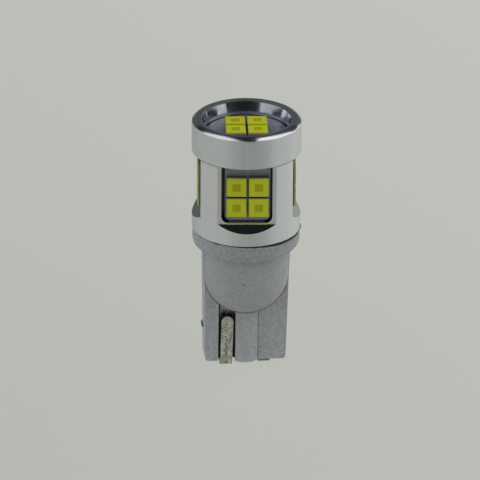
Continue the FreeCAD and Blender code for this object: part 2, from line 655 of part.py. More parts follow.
def make_side_board(face, degrees):
    """Board in a side pocket, with its bond behind it."""
    name = face + "_board"
    body = make_body(name)
    shift = "Size.board_shift" if face == "front" else "0"
    spot = f"heat_sink.Placement * {turn_about_axis(degrees)} * {move_by(shift, '0', '0')}"
    body.setExpression("Placement", spot)
    outline = make_sketch(body, name + "_outline", "XZ_Plane", BOARD_BACK)
    draw_outline(outline, [
        ("-" + BOARD_HALF, BOARD_LOW, "Size.board_corner"),
        (BOARD_HALF, BOARD_LOW, "Size.board_corner"),
        (BOARD_HALF, BOARD_HIGH),
        ("-" + BOARD_HALF, BOARD_HIGH),
    ])
    add_pad(body, outline, name + "_plate", "Size.board_thickness")

    bond_name = face + "_bond"
    bond_low = f"({BOARD_LOW} + Size.bond_margin)"
    bond_height = f"{SLOT_LOW} - Size.bond_margin - {bond_low}"
    bond = make_box(bond_name, f"2 * ({BOARD_HALF} - Size.bond_margin)", "Size.bond_thickness", bond_height)
    seat = move_by(f"Size.bond_margin - {BOARD_HALF}", "-" + BOARD_BACK, bond_low)
    bond.setExpression("Placement", f"{name}.Placement * {seat}")
    finish_piece(bond, bond_name)


def make_top_board():
    """Round board in the dish, on a ring of bond."""
    board = document.addObject("Part::Cylinder", "top_board")
    board.setExpression("Radius", TOP_BOARD_RADIUS)
    board.setExpression("Height", "Size.top_board_thickness")
    turned = turn_about_axis("Size.top_board_turn")
    board.setExpression("Placement", f"heat_sink.Placement * {move_by('0', '0', TOP_BOARD_LOW)} * {turned}")
    finish_piece(board, "top_board")
    around_holes = "Size.top_feed_pitch / 2 + Size.deck_hole_radius + Size.bond_margin"
    outer = make_cylinder("top_bond_disc", f"{TOP_BOARD_RADIUS} - Size.bond_inset", "Size.bond_thickness")
    inner = make_cylinder("top_bond_opening", around_holes, "Size.bond_thickness")
    bond = document.addObject("Part::Cut", "top_bond")
    bond.Base = outer
    bond.Tool = inner
    bond.setExpression("Placement", f"heat_sink.Placement * {move_by('0', '0', DECK_TOP)}")
    finish_piece(bond, "top_bond")


def make_diode(name, spot):
    """One diode: a square carrier with the yellow plate on it, facing up in its own frame."""
    carrier = make_box(name + "_carrier", "Size.led_width", "Size.led_width", "Size.led_body")
    plate_width = "Size.led_width - 2 * Size.phosphor_margin"
    plate = make_box(
        name + "_plate", plate_width, plate_width, "Size.phosphor_thickness", up="Size.led_body")
    diode = finish_piece(fuse_shapes(name, [carrier, plate]), name)
    diode.setExpression("Placement", spot)


def make_diodes():
    """Two by two diodes on each of the five boards."""
    half = "Size.led_pitch / 2"
    corners = ((f"-{half}", half), (half, half), (f"-{half}", f"-{half}"), (half, f"-{half}"))
    for number, (across, up) in enumerate(corners, start=1):
        spot = move_by(across, up, "Size.top_board_thickness")
        make_diode(f"top_led_{number}", f"top_board.Placement * {spot}")
        for face, _ in FACES:
            seat = move_by(across, "-" + BOARD_FACE, f"{LED_LEVEL} + {up}")
            make_diode(f"{face}_led_{number}", f"{face}_board.Placement * {seat} * {UPRIGHT}")


def make_feed_wires():
    """Two short wires from the driver board to each diode board."""
    for face, degrees in FACES:
        stop = DRIVER_FACE if face in ("front", "rear") else DRIVER_HALF
        length = f"{BOARD_BACK} - {stop} - Size.feed_gap"
        for number, side in ((1, "-"), (2, "")):
            name = f"{face}_feed_wire_{number}"
            wire = make_cylinder(name, "Size.feed_radius", length)
            level = f"{SLOT_LEVEL} + {side}Size.feed_pitch / 2"
            seat = move_by("0", f"-({stop} + Size.feed_gap)", level)
            turned = turn_about_axis(degrees)
            wire.setExpression("Placement", f"heat_sink.Placement * {turned} * {seat} * {UPRIGHT}")
            finish_piece(wire, name)
    driver_end = f"({DRIVER_TOP} - {SEAT} + Size.feed_gap)"
    for number, side in ((1, "-"), (2, "")):
        name = f"top_feed_wire_{number}"
        wire = make_cylinder(name, "Size.feed_radius", f"{TOP_BOARD_LOW} - {driver_end}")
        seat = move_by(f"{side}Size.top_feed_pitch / 2", "0", driver_end)
        wire.setExpression("Placement", f"heat_sink.Placement * {seat}")
        finish_piece(wire, name)


def make_driver_board():
    """Upright board in the hollow, with a tail that stands between the two wires."""
    body = make_body("driver_board")
    tail = f"({GROOVE_MIDDLE} - Size.wire_radius - Size.tail_clearance)"
    outline = make_sketch(body, "driver_outline", "XZ_Plane")
    draw_outline(outline, [
        ("-" + tail, DRIVER_LOW),
        (tail, DRIVER_LOW),
        (tail, DRIVER_SHOULDER),
        (DRIVER_HALF, DRIVER_SHOULDER),
        (DRIVER_HALF, DRIVER_TOP),
        ("-" + DRIVER_HALF, DRIVER_TOP),
        ("-" + DRIVER_HALF, DRIVER_SHOULDER),
        ("-" + tail, DRIVER_SHOULDER),
    ])
    add_pad(body, outline, "driver_plate", "Size.driver_thickness", midplane=True)


def between_margins(name):
    """Write the width of a component, which leaves its margin on each side of the driver board."""
    return f"(2 * ({DRIVER_HALF} - Size.{name}_margin))"


def below_top(name):
    """Write the level above the shoulder of a component that hangs below the top of the driver board."""
    return f"({DRIVER_TOP} - {DRIVER_SHOULDER} - Size.{name}_drop)"


def on_driver(level, turned):
    """Write the place of a component on the front or rear face of the driver board."""
    seat = move_by("0", "-" + DRIVER_FACE, f"{DRIVER_SHOULDER} + {level}")
    return f"{turn_about_axis(180 if turned else 0)} * {seat} * {UPRIGHT}"


def make_leaded_chip(name, size, width, lead_count, level, turned):
    """Chip with a moulded body and flat leads along its upper and lower edges."""
    height = f"Size.{size}_height"
    shapes = [make_box(name + "_body", width, height, f"Size.{size}_thickness")]
    spread = f"{width} / {lead_count}"
    for index in range(lead_count):
        across = f"{spread} * ({index} - {(lead_count - 1) / 2})"
        lead = make_box(
            f"{name}_lead_{index + 1}", "Size.lead_width", f"{height} + 2 * Size.lead_reach",
            "Size.lead_thickness", across=across)
        shapes.append(lead)
    chip = finish_piece(fuse_shapes(name, shapes), name)
    chip.setExpression("Placement", on_driver(level, turned))


def make_capped_block(name, size, width, level, turned):
    """Block component with a soldered end cap on each end."""
    height = f"Size.{size}_height"
    thickness = f"Size.{size}_thickness"
    shapes = [make_box(name + "_body", width, height, thickness, up="Size.end_cap_wall")]
    for side, word in (("-", "left"), ("", "right")):
        cap = make_box(
            f"{name}_{word}_cap", "Size.end_cap_length", f"{height} + 2 * Size.end_cap_wall",
            f"{thickness} + 2 * Size.end_cap_wall", across=f"{side}{width} / 2")
        shapes.append(cap)
    block = finish_piece(fuse_shapes(name, shapes), name)
    block.setExpression("Placement", on_driver(level, turned))


def make_inductor():
    """Drum coil on a square foot, midway between the rectifier and the input capacitor."""
    low = "(Size.rectifier_level + Size.rectifier_height / 2 + Size.lead_reach)"
    high = f"({below_top('capacitor')} - Size.capacitor_height / 2 - Size.end_cap_wall)"
    width = "Size.inductor_width"
    foot = make_box("inductor_foot", width, width, "Size.inductor_foot_height")
    drum = make_cylinder(
        "inductor_drum", "Size.inductor_drum_radius", "Size.inductor_drum_height",
        up="Size.inductor_foot_height")
    inductor = finish_piece(fuse_shapes("inductor", [foot, drum]), "inductor")
    inductor.setExpression("Placement", on_driver(f"({low} + {high}) / 2", False))


def check_and_write():
    """Stop if any object failed or any piece is not a sound solid, then write one file for each piece."""
    document.recompute()
    for item in document.Objects:
        if "Invalid" in item.State or "Error" in item.State:
            raise RuntimeError(f"{item.Name} failed: {item.State}")
    for piece in parts:
        if piece.Shape.isNull() or not piece.Shape.isValid() or not piece.Shape.Solids:
            raise RuntimeError(f"{piece.Label} is not a sound solid")
    os.makedirs("parts", exist_ok=True)
    for piece in parts:
        piece.Shape.exportStep(f"parts/{piece.Label}.step")
    print(f"{len(parts)} pieces written")


make_wedge_base()
make_contact("front_contact", 0)
make_contact("rear_contact", 180)
make_heat_sink()
make_reflector_cap()
make_top_board()
for face_name, face_turn in FACES:
    make_side_board(face_name, face_turn)
make_diodes()
make_driver_board()
make_feed_wires()
make_leaded_chip("bridge_rectifier", "rectifier", between_margins("rectifier"), 2,
                 "Size.rectifier_level", False)
make_leaded_chip("driver_chip", "chip", between_margins("chip"), 3, below_top("chip"), True)
make_inductor()
make_capped_block("input_capacitor", "capacitor", between_margins("capacitor"), below_top("capacitor"), False)
make_capped_block("flyback_diode", "flyback", "Size.flyback_width", "Size.flyback_level", True)
make_capped_block("sense_resistor", "resistor", "Size.resistor_width", below_top("resistor"), True)
check_and_write()
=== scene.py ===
"""Wedge base LED bulb: finishes, diodes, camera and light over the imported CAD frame.

All lengths are in metres. The head of the bulb has its own frame, slightly turned and tilted on the moulded
base, and every pattern on the head is drawn in that frame.
"""
import logging
import math
from collections.abc import Callable
from dataclasses import dataclass, field
from enum import Enum
from functools import cached_property
from typing import Union

import bpy
from mathutils import Matrix, Vector
from mathutils.noise import fractal


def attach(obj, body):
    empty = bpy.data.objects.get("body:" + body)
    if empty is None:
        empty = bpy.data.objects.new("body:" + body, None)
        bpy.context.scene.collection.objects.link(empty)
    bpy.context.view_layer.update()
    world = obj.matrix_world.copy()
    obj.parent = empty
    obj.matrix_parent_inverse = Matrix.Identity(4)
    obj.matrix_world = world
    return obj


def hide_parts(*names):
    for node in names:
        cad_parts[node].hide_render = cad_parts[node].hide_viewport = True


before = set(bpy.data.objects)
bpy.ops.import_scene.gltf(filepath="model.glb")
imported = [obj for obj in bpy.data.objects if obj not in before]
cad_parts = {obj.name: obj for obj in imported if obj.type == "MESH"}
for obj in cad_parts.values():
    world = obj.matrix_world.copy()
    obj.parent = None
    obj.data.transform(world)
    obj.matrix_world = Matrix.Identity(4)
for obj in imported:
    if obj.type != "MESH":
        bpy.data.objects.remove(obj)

logging.basicConfig(level=logging.INFO, format="%(levelname)s %(message)s")
log = logging.getLogger("bulb")

MM = 0.001
EDGE = 0.02 * MM  # usual width of the soft edge between two finishes
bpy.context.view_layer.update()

Socket = bpy.types.NodeSocket
Number = Union[Socket, float]
Colour = tuple[float, float, float]
Point = tuple[float, float, float]
Range = tuple[float, float]
Slope = tuple[float, float, float, float]  # where it starts and ends, and the results before and after it


class Side(Enum):
    """The four side faces of the head, by their turn about its axis in degrees."""

    FRONT = 0
    RIGHT = 90
    REAR = 180
    LEFT = 270

    @property
    def label(self) -> str:
        """Return the word for this side in the names of its pieces."""
        return self.name.lower()


@dataclass(frozen=True)
class HeadFrame:
    """Place of the aluminium head on the base."""

    seat: float = 16.3 * MM
    radius: float = 5.97 * MM
    turn: float = math.radians(-6.2)
    tilt: float = math.radians(0.5)

    def matrix(self) -> Matrix:
        """Return the matrix from the head's own frame to the object's frame."""
        lift = Matrix.Translation((-self.radius, 0, self.seat)) @ Matrix.Rotation(-self.tilt, 4, "Y")
        return lift @ Matrix.Translation((self.radius, 0, 0)) @ Matrix.Rotation(self.turn, 4, "Z")


HEAD = HeadFrame()


def add_object(name: str, data: bpy.types.ID) -> bpy.types.Object:
    """Add an object to the scene.

    Args:
        name: its name.
        data: its mesh, light or camera.

    Returns:
        The object.
    """
    thing = bpy.data.objects.new(name, data)
    bpy.context.scene.collection.objects.link(thing)
    return thing


@dataclass(frozen=True)
class Noise:
    """One layer of fractal noise.

    Attributes:
        per_mm: features for each millimetre.
        detail: octaves.
        seed: slice of the four-dimensional noise.
        stretch: scale of the place along each axis.
    """

    per_mm: float
    detail: float
    seed: float
    stretch: Point | None = None


@dataclass(frozen=True)
class Feel:
    """Roughness, relief and gloss of a surface, all from its grain.

    Attributes:
        smooth: roughness where the grain is 0.
        rough: roughness where it is 1.
        depth: height of the relief.
        relief: how much of the relief shows.
        gloss: specular level.
    """

    smooth: float
    rough: float
    depth: float
    relief: float
    gloss: float = 0.5


class Wiring:
    """Node tree with short calls that add a node, feed its inputs and combine numbers."""

    def __init__(self, tree: bpy.types.NodeTree) -> None:
        """Keep the tree that the nodes go into."""
        self.tree = tree

    def feed(self, socket: Socket, value: object) -> None:
        """Link an input to an output, or set its constant.

        Args:
            socket: the input.
            value: an output, or a number, vector, colour or name.
        """
        if isinstance(value, bpy.types.NodeSocket):
            self.tree.links.new(value, socket)
        elif socket.type == "RGBA":
            socket.default_value = (*value, 1.0)
        else:
            socket.default_value = value

    def node(self, kind: str, feeds: dict[str | int, object] | None = None, **settings: object) -> bpy.types.Node:
        """Add a node, set its properties and feed its inputs.

        Args:
            kind: Blender's name for the node's type.
            feeds: output or constant for each input, by its name or number.
            settings: properties of the node.

        Returns:
            The new node.
        """
        made = self.tree.nodes.new(kind)
        for key, value in settings.items():
            setattr(made, key, value)
        for key, value in (feeds or {}).items():
            self.feed(made.inputs[key], value)
        return made

    def math(self, operation: str, *values: Number) -> Socket:
        """Combine numbers from left to right, or change a single one.

        Args:
            operation: Blender's name for the operation.
            values: the numbers.

        Returns:
            The result.
        """
        result = values[0]
        for value in values[1:] or (0.0,):
            result = self.node("ShaderNodeMath", {0: result, 1: value}, operation=operation).outputs[0]
        return result

    def plus(self, *values: Number) -> Socket:
        """Add numbers up."""
        return self.math("ADD", *values)

    def minus(self, first: Number, second: Number) -> Socket:
        """Take one number from another."""
        return self.math("SUBTRACT", first, second)

    def times(self, *values: Number) -> Socket:
        """Multiply numbers."""
        return self.math("MULTIPLY", *values)

    def most(self, *values: Number) -> Socket:
        """Return the largest of some numbers."""
        return self.math("MAXIMUM", *values)

    def unsigned(self, value: Socket) -> Socket:
        """Return a number without its sign."""
        return self.math("ABSOLUTE", value)

    def length(self, *parts: Socket) -> Socket:
        """Return the length of a vector, from its parts."""
        return self.math("SQRT", self.plus(*[self.times(part, part) for part in parts]))


class Graph(Wiring):
    """Shader tree of one material, with short calls for the patterns that the finishes share."""

    def __init__(self, name: str, on_head: bool = False) -> None:
        """Start a material that holds only a shader and its output.

        Args:
            name: name of the material.
            on_head: whether its patterns are drawn in the frame of the head.
        """
        self.material = bpy.data.materials.new(name)
        self.material.use_nodes = True
        super().__init__(self.material.node_tree)
        self.tree.nodes.clear()
        self.on_head = on_head
        self.shader = self.node("ShaderNodeBsdfPrincipled")
        self.node("ShaderNodeOutputMaterial", {"Surface": self.shader.outputs[0]})

    def set(self, name: str, value: "Number | Colour") -> None:
        """Give a shader input a constant, or link it to a pattern."""
        self.feed(self.shader.inputs[name], value)

    @cached_property
    def place(self) -> Socket:
        """Return the surface's place in the frame of the object or of the head.

        Returns:
            A vector in metres.
        """
        place = self.node("ShaderNodeTexCoord").outputs["Object"]
        if not self.on_head:
            return place
        matrix = HEAD.matrix()
        feeds = {"Vector": place, "Location": matrix.translation, "Rotation": matrix.to_euler("XYZ")}
        return self.node("ShaderNodeMapping", feeds, vector_type="TEXTURE").outputs["Vector"]

    @cached_property
    def parts(self) -> tuple[Socket, Socket, Socket]:
        """Return the surface's place along X, Y and Z."""
        return self.split(self.place)

    def split(self, vector: Socket) -> tuple[Socket, Socket, Socket]:
        """Return the three parts of a vector."""
        return tuple(self.node("ShaderNodeSeparateXYZ", {0: vector}).outputs)

    def attribute(self, name: str) -> bpy.types.Node:
        """Return the node of a named attribute."""
        return self.node("ShaderNodeAttribute", attribute_name=name)

    def facing_up(self) -> Socket:
        """Return how far the surface faces up, from -1 to 1."""
        return self.split(self.node("ShaderNodeNewGeometry").outputs["Normal"])[2]

    def step(self, value: Socket, start: float, end: float, low: float = 0.0, high: float = 1.0) -> Socket:
        """Return one number before start, another after end and a smooth slope between.

        Args:
            value: the number that is compared.
            start: where the slope starts.
            end: where it ends; a smaller number than start for a slope that runs the other way.
            low: the result before start.
            high: the result after end.

        Returns:
            A number between low and high.
        """
        (first, before), (last, after) = sorted(((start, low), (end, high)))
        feeds = {"Value": value, "From Min": first, "From Max": last, "To Min": before, "To Max": after}
        return self.node("ShaderNodeMapRange", feeds, interpolation_type="SMOOTHSTEP").outputs["Result"]

    def window(self, value: Socket, start: float, end: float, soft: float = EDGE) -> Socket:
        """Return 1 between start and end, with a soft slope outside both."""
        return self.times(self.step(value, start - soft, start), self.step(value, end + soft, end))

    def spread(self, value: Socket, low: float, high: float) -> Socket:
        """Spread a number between 0 and 1 over a new range."""
        return self.node("ShaderNodeMapRange", {"Value": value, "To Min": low, "To Max": high}).outputs["Result"]

    def noise(self, layer: Noise) -> Socket:
        """Return a layer of noise at the surface's place.

        Args:
            layer: the layer.

        Returns:
            A number around 0.5.
        """
        where = self.place
        if layer.stretch:
            where = self.node("ShaderNodeVectorMath", {0: where, 1: layer.stretch}, operation="MULTIPLY").outputs[0]
        feeds = {"Vector": where, "Scale": layer.per_mm / MM, "Detail": layer.detail, "W": layer.seed}
        return self.node("ShaderNodeTexNoise", feeds, noise_dimensions="4D").outputs["Fac"]

    def spot(self, centre: Point, size: float) -> Socket:
        """Return 1 within a small soft-edged spot and 0 around it."""
        away = self.node("ShaderNodeVectorMath", {0: self.place, 1: centre}, operation="DISTANCE")
        return self.step(away.outputs["Value"], size, 0.6 * size)  # the outer two fifths are soft

    def mix(self, factor: Socket, first: "Socket | Colour", second: "Socket | Colour") -> Socket:
        """Mix two colours, the first at 0 and the second at 1."""
        return self.node("ShaderNodeMix", {0: factor, 6: first, 7: second}, data_type="RGBA").outputs[2]

    def bump(self, height: Socket, depth: float, strength: float) -> None:
        """Raise the surface by a pattern from 0 to 1 that stands as high as depth."""
        made = self.node("ShaderNodeBump", {"Height": height, "Distance": depth, "Strength": strength})
        self.set("Normal", made.outputs["Normal"])

    def finish(self, colour: Socket, grain: Socket, feel: Feel) -> bpy.types.Material:
        """Give the shader its colour, roughness, gloss and relief.

        Args:
            colour: colour of the surface.
            grain: pattern of its roughness and relief.
            feel: how rough, raised and glossy it is.

        Returns:
            The material.
        """
        self.set("Base Color", colour)
        self.set("Roughness", self.spread(grain, feel.smooth, feel.rough))
        self.set("Specular IOR Level", feel.gloss)
        self.bump(grain, feel.depth, feel.relief)
        return self.material


@dataclass(frozen=True)
class MouldedGrey:
    """Grey coating of the moulded base: grain and dark specks, with painted shade in its creases, under the seam,
    on the barrel, collar and stub, and darkened grooves around the wires.

    Attributes:
        shade: the plastic that shows through where the coating is thinner, also used for the painted shade on the
            collar.
        barrel_tone: share of the coating's colour left on the barrel and dome, which paints shade on them.
        collar_thin: painted shade on the collar, added to the coating's thinning.
        specks: middle and radius of each dark speck.
        crease_tone: strength of the painted shade in the creases.
        crease_fade: levels above the dome's between which the dome's line fades.
        crease_rest: what is left of the dome's line above the dome and on the narrow sides.
        face: distance of the blade's face from its middle.
        tip: level of the tips of the wires.
        gape: how the painted shade under the seam widens along X.
        bare_from: levels above the tip between which the darkening of the grooves starts.
        bare_ragged: height of its ragged top.
        wall_raise: how much higher it reaches along the groove's outer wall.
        streak_drop: how much lower it stays in the grey streak beside that wall.
        thin_grain: how the coating thins with the grain, and so on for the patches and the cloud.
    """

    colour: Colour = (0.548, 0.575, 0.604)
    shade: Colour = (0.302, 0.316, 0.330)
    bare: Colour = (0.035, 0.035, 0.033)
    speck: Colour = (0.11, 0.12, 0.12)
    dirt: Colour = (0.035, 0.024, 0.020)
    barrel_tone: float = 0.85
    collar_low: float = 14.15 * MM
    collar_soft: float = 0.2 * MM
    collar_thin: float = 0.32
    collar_thin_soft: float = 0.3 * MM
    specks: tuple[tuple[Point, float], ...] = (((-0.72 * MM, -4.77 * MM, 11.3 * MM), 0.12 * MM),
                                               ((1.62 * MM, -1.3 * MM, 2.05 * MM), 0.12 * MM))
    crease_tone: float = 0.68
    crease_gap: float = 0.03 * MM
    crease_width: float = 0.09 * MM
    crease_soft: float = 0.025 * MM
    crease_fade: Range = (0.5 * MM, -0.8 * MM)
    crease_rest: float = 0.2
    dome_level: float = 11.05 * MM
    dome_radius: float = 4.82 * MM
    narrow_side: float = 4.53 * MM
    narrow_edge: float = 0.15 * MM
    rib_half: float = 1.36 * MM
    foot_width: float = 0.05 * MM
    face: float = 1.3 * MM
    groove_sunk: Range = (0.03 * MM, 0.2 * MM)
    groove_from: float = 1.15 * MM
    groove_to: float = 3.05 * MM
    wall_from: float = 2.79 * MM
    wall_raise: float = 3.0 * MM
    streak_width: float = 0.16 * MM
    streak_soft: float = 0.06 * MM
    streak_drop: float = 0.5 * MM
    tip: float = 5.7 * MM
    stub_side: float = 4.6 * MM
    stub_low: float = 3.9 * MM
    stub_high: float = 5.2 * MM
    stub_soft: Range = (0.03 * MM, 0.05 * MM)
    gape: Slope = (-5.5 * MM, 6.0 * MM, 0.02 * MM, 0.24 * MM)
    gape_ragged: Range = (0.2, 1.8)
    bare_from: Range = (1.35 * MM, 0.85 * MM)
    bare_ragged: float = 1.3 * MM
    grain: Noise = Noise(7.5, 4.0, 1.0)
    patches: Noise = Noise(2.6, 3.0, 2.0)
    cloud: Noise = Noise(0.4, 2.0, 4.0)
    seam_lumps: Noise = Noise(1.9, 3.0, 6.0)
    groove_lumps: Noise = Noise(4.2, 2.0, 7.0, (1.0, 1.0, 0.5))
    thin_grain: Slope = (0.40, 0.62, 0.0, 0.52)
    thin_patches: Slope = (0.40, 0.66, 0.0, 0.30)
    thin_cloud: Slope = (0.3, 0.7, 0.0, 0.10)
    feel: Feel = Feel(0.5, 0.72, 0.025 * MM, 0.35, 0.35)

    def reach(self, graph: Graph) -> Socket:
        """Return the distance from the barrel's axis, and below its foot from the dome's centre.

        Args:
            graph: the material's tree.

        Returns:
            A distance in metres.
        """
        across, deep, up = graph.parts
        below = graph.math("MINIMUM", graph.minus(up, self.dome_level), 0.0)
        return graph.length(across, deep, below)

    def creases(self, graph: Graph, reach: Socket) -> Socket:
        """Return the painted shade in the creases around the dome and along the foot of the rib.

        Args:
            graph: the material's tree.
            reach: distance from the barrel and the dome.

        Returns:
            A number between 0 and 1.
        """
        across, deep, up = graph.parts
        wide = graph.unsigned(across)
        start = self.dome_radius + self.crease_gap
        fade_from, fade_to = (self.dome_level + above for above in self.crease_fade)
        dome = graph.times(
            graph.window(reach, start, start + self.crease_width, self.crease_soft),
            graph.step(up, fade_from, fade_to, self.crease_rest, 1.0),
            graph.step(wide, self.narrow_side - self.narrow_edge, self.narrow_side, 1.0, self.crease_rest))
        high = graph.window(graph.unsigned(deep), self.face - self.foot_width, self.face + EDGE)
        foot = graph.window(wide, self.rib_half - EDGE, self.rib_half + self.foot_width, self.foot_width)
        return graph.most(dome, graph.times(foot, high))

    def seam_dirt(self, graph: Graph) -> Socket:
        """Return painted shade, brown-black, along the ragged edge under the seam, wider where the head gapes.

        Args:
            graph: the material's tree.

        Returns:
            A number between 0 and 1.
        """
        across, _, up = graph.parts
        ragged = graph.spread(graph.noise(self.seam_lumps), *self.gape_ragged)
        edge = graph.minus(HEAD.seat, graph.times(graph.step(across, *self.gape), ragged))
        return graph.step(graph.minus(up, edge), 0.0, EDGE)

    def bare_plastic(self, graph: Graph) -> Socket:
        """Return where the grooves are darkened: around the wires, and all along the grooves' outer walls.

        Args:
            graph: the material's tree.

        Returns:
            A number between 0 and 1.
        """
        across, deep, up = graph.parts
        aside = graph.unsigned(across)
        groove = graph.window(aside, self.groove_from, self.groove_to)
        sunk = graph.step(graph.unsigned(deep), *[self.face - below for below in self.groove_sunk])
        ragged = graph.times(graph.noise(self.groove_lumps), self.bare_ragged)
        streak = graph.window(aside, self.wall_from - self.streak_width, self.wall_from, self.streak_soft)
        wall = graph.step(aside, self.wall_from, self.wall_from + 2 * EDGE, 0.0, self.wall_raise)
        level = graph.minus(graph.plus(up, ragged, graph.times(streak, self.streak_drop)), wall)
        return graph.times(groove, sunk, graph.step(level, *[self.tip + above for above in self.bare_from]))

    def material(self) -> bpy.types.Material:
        """Build the material.

        Returns:
            The material.
        """
        graph = Graph("moulded_grey")
        across, _, up = graph.parts
        reach = self.reach(graph)
        grain = graph.noise(self.grain)
        collar = self.collar_low
        # grain, patches and cloud make the coating thinner; the last term paints shade on the collar
        thinning_and_shade = graph.plus(graph.step(grain, *self.thin_grain),
                          graph.step(graph.noise(self.patches), *self.thin_patches),
                          graph.step(graph.noise(self.cloud), *self.thin_cloud),
                          graph.step(up, collar, collar + self.collar_thin_soft, 0.0, self.collar_thin))
        # painted shade: the barrel and dome keep only this share of the coating's colour
        barrel = tuple(self.barrel_tone * part for part in self.colour)
        colour = graph.mix(graph.step(reach, self.dome_radius + EDGE, self.dome_radius), self.colour, barrel)
        colour = graph.mix(graph.step(up, collar, collar + self.collar_soft), colour, self.colour)
        colour = graph.mix(thinning_and_shade, colour, self.shade)
        # painted shade on the stub at the left narrow side
        soft_across, soft_up = self.stub_soft
        stub = graph.times(graph.step(across, -self.stub_side, -self.stub_side - soft_across),
                           graph.window(up, self.stub_low, self.stub_high, soft_up))
        # painted shade in the creases around the dome and along the foot of the rib
        crease_shading = graph.times(self.creases(graph, reach), self.crease_tone)
        for dark in (*(graph.spot(centre, size) for centre, size in self.specks), crease_shading):
            colour = graph.mix(dark, colour, self.speck)
        # painted shade under the seam, wider where the head gapes
        colour = graph.mix(self.seam_dirt(graph), colour, self.dirt)
        colour = graph.mix(stub, colour, self.speck)
        # the grooves are darkened around the wires and along their outer walls
        return graph.finish(graph.mix(self.bare_plastic(graph), colour, self.bare), grain, self.feel)


